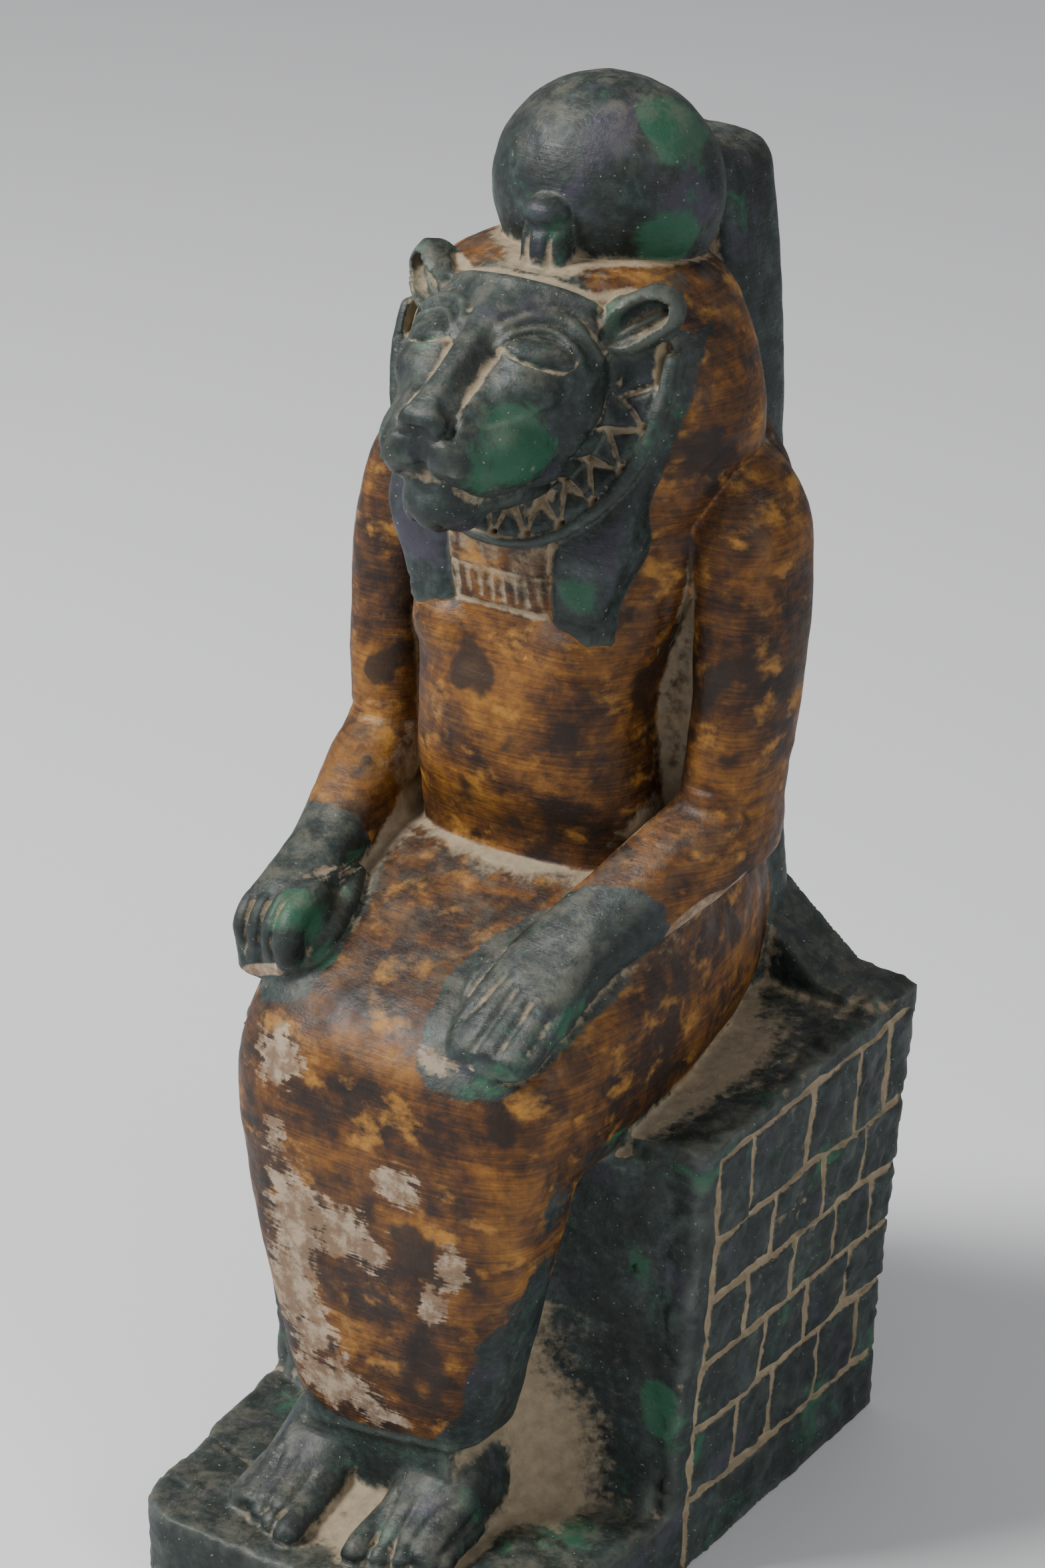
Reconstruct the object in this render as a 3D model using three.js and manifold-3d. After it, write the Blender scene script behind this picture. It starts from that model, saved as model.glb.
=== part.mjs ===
// A seated lioness-headed goddess carved in one piece with her throne, plinth and back pillar.
// Millimetres, +Z up, she faces -Y, and the origin is under the middle of the plinth.
import * as THREE from 'three';
import { LoftGeometry } from 'three/addons/geometries/LoftGeometry.js';
import { mergeVertices } from 'three/addons/utils/BufferGeometryUtils.js';
import Module from 'manifold-3d';

// Plinth
const plinthHeight = 17;
const plinthLength = 143;
const plinthWidth = 101.6;
const plinthFrontWidth = 90;
const plinthCorner = 14;
const stepGrooves = { shares: [0.22, 0.33], length: 20, turn: 0.28 };

// Throne block
const throneDepth = 84;
const throneWidth = 114.2;
const seatFront = 85.5;
const seatBack = 89.3;
const throneChamfer = 2.4;

// Masonry pattern on the throne sides
const courses = 5;
const brickLength = 17.4;
const firstBrick = 17.5;
const topBand = 6.5;
const frontBorder = 5.5;
const jointWidth = 1.3;
const jointDepth = 0.8;

// Back pillar and the low back of the seat
const pillarHeight = 267;
const pillarDepth = 24;
const pillarTopWidth = 38;
const pillarFootWidth = 58;
const pillarCorner = 8;
const seatBackRise = 18;
const seatBackThickness = 17;
const seatBackNeck = 46;
const seatBackSlope = 20;
const seatBackLip = 2;
const seatBackEdge = 0.3;
const rooting = 4;

// The figure is free form: its points are drawn at one height and scaled to this one.
const figureHeight = 283;
const drawn = { height: 283, ground: 17, back: 71.5 };

const scale = figureHeight / drawn.height;
const backFace = plinthLength / 2;
const throneFront = backFace - throneDepth;
const left = 1;
const right = -1;

const wasm = await Module();
wasm.setup();

// A three.js geometry as a solid
function solid(geometry) {
  const bare = new THREE.BufferGeometry();
  bare.setAttribute('position', geometry.attributes.position);
  bare.setIndex(geometry.index);
  const merged = mergeVertices(bare, 1e-4);
  return new wasm.Manifold(new wasm.Mesh({
    numProp: 3,
    vertProperties: new Float32Array(merged.attributes.position.array),
    triVerts: new Uint32Array(merged.index.array),
  }));
}

function fuse(solids) {
  return solids.reduce((whole, next) => whole.add(next));
}

// A drawn point in the place and at the size that the figure has
function place(x, y, z) {
  return new THREE.Vector3(
    x * scale,
    backFace + (y - drawn.back) * scale,
    plinthHeight + (z - drawn.ground) * scale,
  );
}

// One closed section: a superellipse of two half axes about a centre
function section(centre, across, over, power, count) {
  const bent = (value) => Math.sign(value) * Math.abs(value) ** (2 / power);
  return Array.from({ length: count }, (_, i) => {
    const angle = (2 * Math.PI * (i + 0.5)) / count;
    return centre.clone()
      .addScaledVector(across, bent(Math.cos(angle)))
      .addScaledVector(over, bent(Math.sin(angle)));
  });
}

function loft(sections) {
  return solid(new LoftGeometry(sections, { capStart: true, capEnd: true }));
}

// A form that rises: rows of [height, x, y, half width, half depth], lowest first
function rising(rows, { power = 2.3, count = 18, side = 1 } = {}) {
  return loft(rows.map(([z, x, y, wide, deep]) => section(
    place(side * x, y, z),
    new THREE.Vector3(wide * scale, 0, 0),
    new THREE.Vector3(0, deep * scale, 0),
    power,
    count,
  )));
}

// A form that runs forward: rows of [y, x, z, half width, half height], rearmost first
function forward(rows, { power = 2.3, count = 18, side = 1 } = {}) {
  return loft(rows.map(([y, x, z, wide, high]) => section(
    place(side * x, y, z),
    new THREE.Vector3(wide * scale, 0, 0),
    new THREE.Vector3(0, 0, high * scale),
    power,
    count,
  )));
}

// A rod that follows a curve: rows of [x, y, z, radius]
function rod(rows, { count = 8, steps = rows.length - 1, side = 1 } = {}) {
  const path = new THREE.CatmullRomCurve3(rows.map(([x, y, z]) => place(side * x, y, z)));
  const sections = Array.from({ length: steps + 1 }, (_, i) => {
    const share = i / steps;
    const row = share * (rows.length - 1);
    const before = rows[Math.floor(row)][3];
    const after = rows[Math.ceil(row)][3];
    const radius = (before + (after - before) * (row % 1)) * scale;
    const along = path.getTangent(share);
    const over = new THREE.Vector3(0, 0, 1).addScaledVector(along, -along.z);
    if (over.length() < 0.3) over.set(0, -1, 0).addScaledVector(along, along.y);
    over.normalize();
    const across = new THREE.Vector3().crossVectors(over, along);
    across.multiplyScalar(radius);
    over.multiplyScalar(radius);
    return section(path.getPoint(share), across, over, 2, count);
  });
  return loft(sections);
}

// A ball stretched to three half axes and turned about the upright axis
function ball([x, y, z], [wide, deep, high], { turn = 0, lean = 0, count = 12, side = 1 } = {}) {
  const shape = new THREE.SphereGeometry(1, count, Math.round(count * 0.67));
  shape.scale(wide * scale, deep * scale, high * scale);
  shape.rotateY(side * lean);
  shape.rotateZ(side * turn);
  const middle = place(side * x, y, z);
  shape.translate(middle.x, middle.y, middle.z);
  return solid(shape);
}

function bothSides(make) {
  return fuse([make(left), make(right)]);
}

// Plinth: widest under the throne, narrower and rounded at the front
function plinth() {
  const rear = plinthWidth / 2;
  const front = plinthFrontWidth / 2;
  const outline = new THREE.Shape();
  outline.moveTo(-rear, backFace);
  outline.lineTo(-rear, throneFront);
  outline.lineTo(-front, -backFace + plinthCorner);
  outline.quadraticCurveTo(-front, -backFace + plinthCorner * 0.2, -front + plinthCorner, -backFace);
  outline.lineTo(front - plinthCorner, -backFace);
  outline.quadraticCurveTo(front, -backFace + plinthCorner * 0.2, front, -backFace + plinthCorner);
  outline.lineTo(rear, throneFront);
  outline.lineTo(rear, backFace);
  outline.closePath();
  const slab = new THREE.ExtrudeGeometry(outline, {
    depth: plinthHeight, bevelEnabled: false, curveSegments: 6,
  });
  return solid(slab);
}

// Two shallow grooves beside the right foot
function plinthGrooves() {
  const free = plinthLength - throneDepth;
  const middle = (stepGrooves.length * 0.8 - plinthFrontWidth) / 2;
  return fuse(stepGrooves.shares.map((share) => {
    const cut = new THREE.BoxGeometry(stepGrooves.length, jointWidth, jointDepth * 2);
    cut.rotateZ(-stepGrooves.turn);
    cut.translate(middle, -backFace + free * share, plinthHeight);
    return solid(cut);
  }));
}

const seatHeight = (y) => plinthHeight + seatFront
  + ((seatBack - seatFront) * (y - throneFront)) / throneDepth;
const throneHalf = (z) => plinthWidth / 2
  + ((throneWidth - plinthWidth) / 2) * ((z - plinthHeight) / seatFront);

// Throne: a block that widens upward, with a seat that climbs a little to the back
function throne() {
  const corners = (half, inset, height) => {
    const near = throneFront + inset;
    const soft = throneChamfer;
    return [
      [half - soft, near], [half, near + soft], [half, backFace], [-half, backFace],
      [-half, near + soft], [-half + soft, near],
    ].map(([x, y]) => new THREE.Vector3(x, y, height(y)));
  };
  const level = plinthHeight / 2;
  return loft([
    corners(plinthWidth / 2, 0, () => level),
    corners(plinthWidth / 2, 0, () => plinthHeight),
    corners(throneWidth / 2, 0, (y) => seatHeight(y) - throneChamfer / 2),
    corners(throneWidth / 2 - throneChamfer / 2, throneChamfer / 2, seatHeight),
  ]);
}

// Joints of the masonry on one side: course lines, staggered uprights and a front border
function masonry(side) {
  const foot = plinthHeight;
  const head = plinthHeight + seatFront - topBand;
  const course = (head - foot) / courses;
  const start = throneFront + frontBorder;
  const lean = Math.atan2((throneWidth - plinthWidth) / 2, seatFront);
  const groove = (y0, y1, z0, z1) => {
    const cut = new THREE.BoxGeometry(jointDepth * 2, y1 - y0, z1 - z0);
    cut.rotateY(lean * side);
    const height = (z0 + z1) / 2;
    cut.translate(side * throneHalf(height), (y0 + y1) / 2, height);
    return solid(cut);
  };
  const half = jointWidth / 2;
  const cuts = [groove(start - half, start + half, foot - half, head + half)];
  for (let line = 0; line <= courses; line++) {
    const z = foot + line * course;
    cuts.push(groove(start, backFace + 1, z - half, z + half));
  }
  for (let row = 0; row < courses; row++) {
    const bottom = foot + row * course;
    const shift = row % 2 ? firstBrick + brickLength / 2 : firstBrick;
    for (let y = start + shift; y < backFace - 4; y += brickLength) {
      cuts.push(groove(y - half, y + half, bottom, bottom + course));
    }
  }
  return fuse(cuts);
}

// Back pillar: tapers upward, with rounded upright edges and a rounded top
function pillar() {
  const middle = backFace - pillarDepth / 2;
  const top = plinthHeight + pillarHeight;
  const rows = [
    [plinthHeight + seatBack - rooting, pillarFootWidth / 2, pillarDepth / 2],
    [top - pillarCorner, pillarTopWidth / 2, pillarDepth / 2],
    [top - pillarCorner * 0.3, pillarTopWidth / 2 - pillarCorner * 0.3, pillarDepth / 2 - 1],
    [top, pillarTopWidth / 2 - pillarCorner * 0.8, pillarDepth / 2 - 4],
  ];
  return loft(rows.map(([z, wide, deep]) => section(
    new THREE.Vector3(0, middle + (pillarDepth / 2 - deep) * 0.4, z),
    new THREE.Vector3(wide, 0, 0),
    new THREE.Vector3(0, deep, 0),
    4,
    16,
  )));
}

// The pillar spreads at its foot into the low sloped back of the seat
function seatBackWall() {
  const half = throneWidth / 2 - throneChamfer;
  const seat = seatHeight(backFace);
  const foot = seat - rooting;
  const top = seat + seatBackRise;
  const neck = seatBackNeck / 2;
  const outline = new THREE.Shape();
  outline.moveTo(-half, foot);
  outline.lineTo(half, foot);
  outline.lineTo(half, seat + seatBackEdge);
  outline.lineTo(neck + seatBackSlope, seat + seatBackLip);
  outline.lineTo(neck, top);
  outline.lineTo(-neck, top);
  outline.lineTo(-neck - seatBackSlope, seat + seatBackLip);
  outline.lineTo(-half, seat + seatBackEdge);
  outline.closePath();
  const wall = new THREE.ExtrudeGeometry(outline, { depth: seatBackThickness, bevelEnabled: false });
  wall.rotateX(Math.PI / 2);
  wall.translate(0, backFace, 0);
  return solid(wall);
}

// Sun disc: a thick lens that stands on the head
function disc() {
  return ball([0, 35.4, 277.9], [23.8, 20.4, 22], { count: 20 });
}

// Rearing cobra at the foot of the disc: a grooved hood under a round head
function cobra() {
  const hood = rising([
    [262, 0, 14, 4.4, 5], [272, 0, 14, 4.6, 4.6], [279, 0, 15, 3.6, 4.6],
  ], { power: 4, count: 8 });
  const knob = ball([0, 13, 280.5], [4.2, 4, 3], { count: 9 });
  const grooves = bothSides((side) => rising([
    [265, 1.9, 9.2, 0.6, 1.2], [275, 1.9, 9.6, 0.6, 1.2],
  ], { power: 4, count: 6, side }));
  return hood.subtract(grooves).add(knob);
}

// Skull, muzzle and chin, drawn from the back of the head to the nose
function skull() {
  const head = forward([
    [26, 0, 250, 18, 16], [12, 0, 249, 20, 18], [3, 0, 248, 20.8, 19.6], [-3, 0, 248, 19.2, 19],
    [-7, 0, 248, 14.6, 16.4], [-9.4, 0, 248, 9, 12],
  ], { power: 2.4, count: 14 });
  const muzzle = forward([
    [4, 0, 242, 17, 16.4], [-5, 0, 241, 16.2, 16], [-13, 0, 240, 14.6, 14.8], [-19.6, 0, 239.4, 12.4, 13],
    [-24.6, 0, 239.4, 9.4, 10.4], [-27.6, 0, 240, 6.4, 7.6], [-29, 0, 240.6, 3.6, 5],
  ], { power: 2.3, count: 14 });
  const bridge = forward([
    [0, 0, 261.6, 8, 6], [-8, 0, 258.6, 6, 6], [-16, 0, 253, 5.2, 5.6], [-24, 0, 248.4, 5, 4.4],
    [-29, 0, 246, 4.4, 3],
  ], { power: 2.6, count: 10 });
  return fuse([head, muzzle, bridge]);
}

// Eyes: an almond ball in a sunk socket under a raised brow
function eyeSocket(side) {
  return ball([13, -7.6, 255.9], [7.4, 2.6, 3.9], { turn: 0.4, lean: 0.08, count: 8, side });
}

function eye(side) {
  const almond = ball([12.9, -5, 255.9], [6.2, 3.2, 3], { turn: 0.4, lean: 0.08, count: 8, side });
  const brow = rod([
    [5, -9, 260, 0.9], [10.4, -8, 262.4, 1.1], [16.6, -5, 261.6, 1.1], [21, -0.6, 257.6, 0.9],
  ], { count: 5, steps: 5, side });
  return almond.add(brow);
}

function faceCuts() {
  const nostrils = bothSides((side) => ball([4, -28.6, 244], [1.8, 2.6, 1.3], { count: 7, side }));
  const cleft = rod([[0, -29.4, 242.4, 0.9], [0, -29.2, 238, 0.9], [0, -27.4, 233.2, 1]], { count: 5 });
  const mouth = bothSides((side) => rod([
    [-0.4, -27.8, 233.4, 1], [4.4, -25.8, 232.2, 1], [8.4, -22, 231.4, 1], [11.8, -16.6, 232, 1],
    [14, -11, 234.4, 0.8],
  ], { count: 5, steps: 5, side }));
  return fuse([nostrils, cleft, mouth]);
}

// Rounded ears, each hollowed to a leaf
function ear(side) {
  const turn = 0.5;
  const shell = ball([22.4, 10.6, 260.4], [8.4, 3.8, 7.6], { turn, count: 11, side });
  const hollow = ball([21.2, 7.2, 260], [5.2, 2.8, 4.6], { turn, lean: -0.4, count: 8, side });
  return shell.subtract(hollow);
}

// Mane: a ring from ear to ear under the chin, with a rim and a row of pointed locks
const mane = { y: 12, centre: 250, wide: 26, high: 29, lean: 0.385, from: -0.1, locks: 15 };

function manePoint(angle, grow, out) {
  const drop = (mane.high + grow) * Math.sin(angle);
  return place(
    -(mane.wide + grow) * Math.cos(angle),
    mane.y - mane.lean * drop - out,
    mane.centre - drop,
  );
}

function maneRing(grow, out, thick, deep, count) {
  const steps = 14;
  return loft(Array.from({ length: steps + 1 }, (_, i) => {
    const angle = mane.from + ((Math.PI - 2 * mane.from) * i) / steps;
    const centre = manePoint(angle, grow, out);
    const outward = manePoint(angle, grow + 1, out).sub(centre).normalize();
    return section(
      centre,
      outward.multiplyScalar(thick * scale),
      new THREE.Vector3(0, deep * scale, 0),
      3,
      count,
    );
  }));
}

function maneLocks() {
  const span = Math.PI - 2 * mane.from;
  return fuse(Array.from({ length: mane.locks }, (_, i) => {
    const middle = mane.from + (span * (i + 0.5)) / mane.locks;
    const half = (span * 0.42) / mane.locks;
    const corners = [
      manePoint(middle - half, 2.6, 4.6), manePoint(middle + half, 2.6, 4.6), manePoint(middle, -3.4, 4.8),
    ];
    const rear = corners.map((point) => point.clone().add(new THREE.Vector3(0, 3 * scale, 0)));
    return loft([rear, corners]);
  }));
}

function maneCollar() {
  return fuse([maneRing(0, 0, 4.6, 4, 6), maneRing(4, 0.8, 1.6, 4.4, 4), maneLocks()]);
}

// Wig: from the head to the shoulders, with two square-ended lappets in front
function wig() {
  return rising([
    [200, 0, 27, 24, 23], [214, 0, 25.6, 31, 23.7], [226, 0, 25.4, 37, 23.9], [238, 0, 25.4, 39, 23.4],
    [248, 0, 25.8, 37.4, 23], [256, 0, 26.4, 34, 22.4], [262, 0, 27.4, 29.6, 21.4], [266, 0, 28, 24.6, 19],
    [268, 0, 28.5, 18, 15.5],
  ], { power: 2.5, count: 18 });
}

function lappet(side) {
  const cloth = rising([
    [198, 17.1, 5, 6.3, 6], [207, 17.6, 4.6, 6.8, 6.4], [217, 19.6, 5, 8.4, 7], [226, 22, 8, 8, 6],
  ], { power: 5, count: 12, side });
  const clasp = rising([
    [202.6, 17.4, -1.2, 8, 1.4], [203.6, 17.4, -1.4, 8, 1.4],
  ], { power: 8, count: 4, side });
  return cloth.subtract(clasp);
}

// Broad collar between the lappets: a row of beads over a border
function collar() {
  const beads = { first: -8.2, pitch: 2.75, count: 7 };
  const plate = rising([
    [198.6, 0, 6, 12, 6.8], [209, 0, 4.4, 12, 7.2], [218.3, 0, 3.2, 12, 7.4],
  ], { power: 6, count: 12 });
  const strokes = Array.from({ length: beads.count }, (_, i) => rising([
    [202.6, beads.first + beads.pitch * i, -0.9, 0.7, 1.1],
    [208, beads.first + beads.pitch * i, -2.7, 0.45, 1.1],
  ], { power: 4, count: 4 }));
  const border = rising([[201.4, 0, -0.9, 11.4, 1], [202.2, 0, -1.1, 11.4, 1]], { power: 8, count: 4 });
  return plate.subtract(fuse([...strokes, border]));
}

function torso() {
  const trunk = rising([
    [140, 0, 17, 27, 16], [152, 0, 16, 28, 15], [164, 0, 14, 27.6, 17], [180, 0, 12.8, 25.4, 17.6],
    [190, 0, 14, 27, 17], [200, 0, 15.6, 30, 16.4], [212, 0, 19, 33, 16], [224, 0, 24, 34, 14],
    [233, 0, 29, 30, 10],
  ], { power: 2.4, count: 16 });
  const breasts = bothSides((side) => ball([13, 5.4, 195.4], [10.4, 6.6, 8.8], { count: 11, side }));
  return trunk.add(breasts);
}

// The stone left between each forearm and the lap
function armWeb(side) {
  return rising([
    [124, 32.5, 5, 7, 17.4], [140, 33, 6, 6.8, 16.4], [150.6, 34.6, 8.4, 5.2, 13],
  ], { power: 2.6, count: 10, side });
}

// The stone left standing between arms, trunk and pillar
function backing() {
  return rising([
    [100, 0, 48, 27, 14], [146, 0, 42, 31, 18], [151, 0, 34, 38, 17], [206, 0, 37, 39, 18],
    [224, 0, 40, 36, 15], [234, 0, 42, 29, 12],
  ], { power: 4, count: 12 });
}

function upperArm(side) {
  return rising([
    [149.5, 38.6, 22, 4.6, 7], [153, 39.4, 21.6, 7.4, 10.6], [160, 40, 21.4, 8.6, 12.2],
    [170, 40.4, 22.6, 8.9, 12.2], [184, 41, 24.6, 9.4, 12.4], [197, 41, 26, 9.8, 13],
    [209, 39.6, 27.4, 10.4, 13.4], [219, 37, 29, 11.4, 13.2], [226, 34, 30, 10.8, 11.6],
    [232, 30, 31, 9.6, 9],
  ], { power: 2.5, count: 12, side });
}

// Left hand lies flat on the thigh
function leftForearm() {
  const arm = forward([
    [33, 39.6, 158, 6, 6], [26, 40.2, 158, 8.4, 8.6], [16, 40, 157.6, 9.4, 9.2], [6, 37.2, 153.4, 9.4, 9],
    [-4, 33, 148, 8.8, 8.2], [-12, 29.4, 143.4, 9, 7.2], [-20, 26.6, 139, 10.2, 6.4],
    [-28, 25.6, 134.8, 10.8, 5.6], [-33, 25.8, 131.8, 10.4, 4.8],
  ], { power: 2.4, count: 12 });
  const spread = { root: 17.6, rootPitch: 4.9, tip: 18.6, tipPitch: 5.2 };
  const reach = [-42.6, -46, -46, -41.4];
  const fingers = reach.map((tip, i) => {
    const root = spread.root + spread.rootPitch * i;
    const end = spread.tip + spread.tipPitch * i;
    return rod([
      [root, -24, 136.6 - 0.5 * i, 2.6], [(root + end) / 2, -33, 133.6 - 0.4 * i, 2.9],
      [end, tip + 2.4, 129.4, 2.7], [end, tip, 128.4, 1.6],
    ], { count: 6 });
  });
  const thumb = rod([
    [21.6, -10, 142.5, 3], [16.8, -19, 138.4, 3.1], [14, -27, 134.6, 2.7], [13.8, -31.6, 132.4, 1.6],
  ], { count: 7 });
  return fuse([arm, thumb, ...fingers]);
}

// Right hand is a fist that stands on the thigh
function rightForearm() {
  const arm = forward([
    [33, 39.6, 158, 6, 6], [26, 40.2, 158, 8.4, 8.6], [16, 40, 157.6, 9.4, 9.2], [6, 38.6, 153.8, 9, 9],
    [-4, 36.6, 149, 8.2, 8.2], [-12, 35, 144.6, 7.8, 7.6], [-20, 33.8, 140.2, 8.4, 8.2],
    [-29, 33, 136.6, 9, 8.4], [-34.3, 32.8, 134.8, 8.2, 7.6],
  ], { power: 2.4, count: 12, side: right });
  const knuckles = { first: 26.2, pitch: 4.2 };
  const fingers = [3.2, 2.7, 2.6, 2.4].map((radius, i) => {
    const x = knuckles.first + knuckles.pitch * i;
    const back = 0.9 * i;
    return rod([
      [x, -27 + back, 142.4 - 0.5 * i, radius], [x, -34.4 + back, 140.6 - 0.6 * i, radius],
      [x, -37.4 + back, 135.6 - 0.4 * i, radius], [x, -35 + back, 129.4, radius * 0.9],
    ], { count: 6, steps: 4, side: right });
  });
  const thumb = rod([
    [27, -14, 140.8, 3], [24.4, -21, 137.6, 3.1], [23, -28, 133.4, 2.9], [23.6, -33, 130, 2],
  ], { count: 7, side: right });
  const pad = forward([
    [-6, 33, 136, 8, 6], [-16, 31.4, 132, 10.2, 5.6], [-33, 30.8, 128, 9.8, 3.6],
    [-38.4, 30.8, 127, 8.2, 2.8],
  ], { power: 4, count: 10, side: right });
  return fuse([arm, thumb, pad, ...fingers]);
}

// Sheath dress: one mass that runs over the thighs, bends at the knees and falls to the hem
function dress() {
  const rows = [
    [60, 104, 60, 138, 27], [42, 100, 42, 146, 34.6], [24, 97, 24, 149.4, 38.8], [6, 94, 6, 149, 40.4],
    [-8, 92, -8, 144.4, 40.6], [-18, 91, -20, 139, 40.2], [-20, 91, -31, 133, 39.4],
    [-20, 90, -39.4, 126.6, 38.2], [-20, 89, -45.6, 119, 37.2], [-20, 88, -48.8, 109, 36.6],
    [-19, 86, -49.8, 97, 35.4], [-19.6, 74, -49.8, 79, 31.8], [-20.4, 58, -48.8, 61, 28],
    [-22, 42, -46.6, 43.4, 24.4], [-23.4, 34.4, -44.4, 34.8, 22.2], [-24.4, 32, -42.8, 32, 20.4],
  ];
  return loft(rows.map(([innerY, innerZ, outerY, outerZ, wide]) => {
    const inner = place(0, innerY, innerZ);
    const outer = place(0, outerY, outerZ);
    return section(
      inner.clone().lerp(outer, 0.5),
      new THREE.Vector3(wide * scale, 0, 0),
      outer.clone().sub(inner).multiplyScalar(0.5),
      2.9,
      18,
    );
  }));
}

// The stone left between the shins and the throne, hollowed toward the legs
function legWeb() {
  return rising([
    [12, 0, -11, 40, 20], [19, 0, -11, 33, 22], [28, 0, -12, 26, 20], [46, 0, -13, 22, 18],
    [70, 0, -13, 24, 17], [96, 0, -13, 33, 14],
  ], { power: 2.2, count: 14 });
}

// Feet with five toes, standing on the plinth
function foot(side, middle, tip) {
  const body = forward([
    [-16, middle, 24, 8, 13], [-30, middle, 25, 9, 13], [-38, middle, 24.4, 9.4, 11.4],
    [-46, middle, 21.6, 10, 8], [-53, middle, 19.4, 10.2, 5.4], [tip + 4, middle, 17.6, 9.4, 4],
  ], { power: 2.3, count: 12, side });
  const toes = [3.1, 2.4, 2.2, 2.1, 2].map((radius, i) => {
    const x = middle - 7.2 + (i ? 0.9 : 0) + 3.75 * i;
    const end = tip + 1.5 * i;
    return rod([
      [x, end + 11, 19.4, radius], [x, end + 4.5, 18, radius], [x, end + 1, 17.2, radius * 0.9],
      [x, end, 16.6, radius * 0.5],
    ], { count: 6, side });
  });
  return fuse([body, ...toes]);
}

// The low fillet of stone between the feet
function betweenFeet() {
  return forward([[-20, -1, 17, 10, 8], [-40, -1, 17, 8.6, 5.4], [-58, -1, 15, 7, 3.4]], { count: 10 });
}

// The seat of stone, then the figure on it, then what is cut in
function carve() {
  const base = plinth().add(throne()).add(pillar()).add(seatBackWall());
  const cuts = fuse([plinthGrooves(), masonry(left), masonry(right)]);
  const head = fuse([
    skull().subtract(bothSides(eyeSocket)), bothSides(eye), bothSides(ear), maneCollar(),
  ]).subtract(faceCuts());
  const body = fuse([
    backing(), bothSides(armWeb), torso(), wig(), bothSides(lappet), collar(), bothSides(upperArm),
    leftForearm(), rightForearm(), dress(), legWeb(),
  ]);
  const feet = fuse([foot(left, 14, -62), foot(right, 16.4, -64.6), betweenFeet()]);
  const figure = fuse([disc(), cobra(), head, body, feet]);
  const above = new THREE.BoxGeometry(plinthWidth * 2, plinthLength * 2, figureHeight * 2);
  above.translate(0, 0, figureHeight + plinthHeight / 2);
  return base.subtract(cuts).add(figure.intersect(solid(above)));
}

function meshOf(body) {
  const { vertProperties, triVerts } = body.getMesh();
  const geometry = new THREE.BufferGeometry();
  geometry.setAttribute('position', new THREE.BufferAttribute(new Float32Array(vertProperties), 3));
  geometry.setIndex(new THREE.BufferAttribute(new Uint32Array(triVerts), 1));
  geometry.computeVertexNormals();
  return geometry;
}

const stone = new THREE.MeshStandardMaterial({ color: 0x2b3a33, roughness: 0.55, metalness: 0 });
const statue = new THREE.Mesh(meshOf(carve()), stone);
statue.name = 'statue';

const part = new THREE.Group();
part.add(statue);

export default part;
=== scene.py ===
import math
import bpy
import numpy as np
from mathutils import Matrix, Vector


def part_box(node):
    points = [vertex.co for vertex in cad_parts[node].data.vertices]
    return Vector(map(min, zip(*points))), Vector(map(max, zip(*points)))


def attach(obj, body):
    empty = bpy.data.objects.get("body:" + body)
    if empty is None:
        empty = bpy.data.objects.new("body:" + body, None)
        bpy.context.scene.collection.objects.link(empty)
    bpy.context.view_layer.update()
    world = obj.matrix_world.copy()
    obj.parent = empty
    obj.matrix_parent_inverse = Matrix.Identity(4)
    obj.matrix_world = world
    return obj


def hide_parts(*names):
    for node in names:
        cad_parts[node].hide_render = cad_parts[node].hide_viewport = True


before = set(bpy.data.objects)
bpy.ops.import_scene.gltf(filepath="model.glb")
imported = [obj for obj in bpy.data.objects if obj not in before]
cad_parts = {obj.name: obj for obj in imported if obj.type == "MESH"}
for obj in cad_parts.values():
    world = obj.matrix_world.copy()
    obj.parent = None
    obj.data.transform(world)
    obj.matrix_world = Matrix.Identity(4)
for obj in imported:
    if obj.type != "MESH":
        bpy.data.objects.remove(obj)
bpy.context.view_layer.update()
low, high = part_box("statue")

# One carved piece: drawn as a solid field in millimetres, then made into one mesh
MM = 0.001 * (high[2] - low[2]) / 0.29974
STEP = 0.7
FACES = 192000
LEFT, RIGHT = 1, -1
SIDES = (LEFT, RIGHT)

# The throne, plinth and pillar, as in the frame
PLINTH = {"height": 17, "back": 50.8, "front": 45, "half": 71.5, "corner": 13}
THRONE = {"front": -12.5, "foot": 50.8, "head": 57.1, "seat_front": 102.5, "seat_back": 106.3}
PILLAR = [(102, 0, 59.5, 29, 12), (180, 0, 59.5, 24.6, 12), (276, 0, 59.5, 19, 12), (281.6, 0, 59.9, 16.6, 11),
          (284, 0, 61.1, 12.6, 8)]
# Height of the seat's low back over the distance from its middle
SEAT_BACK = ([0, 23, 43, 54.7, 60], [124.3, 124.3, 108.3, 106.6, 106.3])

# Masonry joints on the throne's sides: course lines (height in front, height at the back) and uprights
COURSES = [(98, 101), (79.7, 78.8), (65.1, 63), (49.3, 48.4), (33.4, 33), (16.6, 14.4)]
UPRIGHTS = [(7.5, 31.4, 49.5, 62.8), (18.9, 39.3, 56), (11, 30, 46.2, 61.8), (20.3, 38.5, 55.2),
            (11.8, 26.2, 45.3, 62)]
MANE = {"y": 12, "centre": 250, "wide": 26, "high": 29, "lean": 0.385, "locks": 12}


# Noise on a repeating lattice, from 0 to 1
LATTICE = np.random.default_rng(7).random((32, 32, 32)).astype(np.float32)


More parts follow.
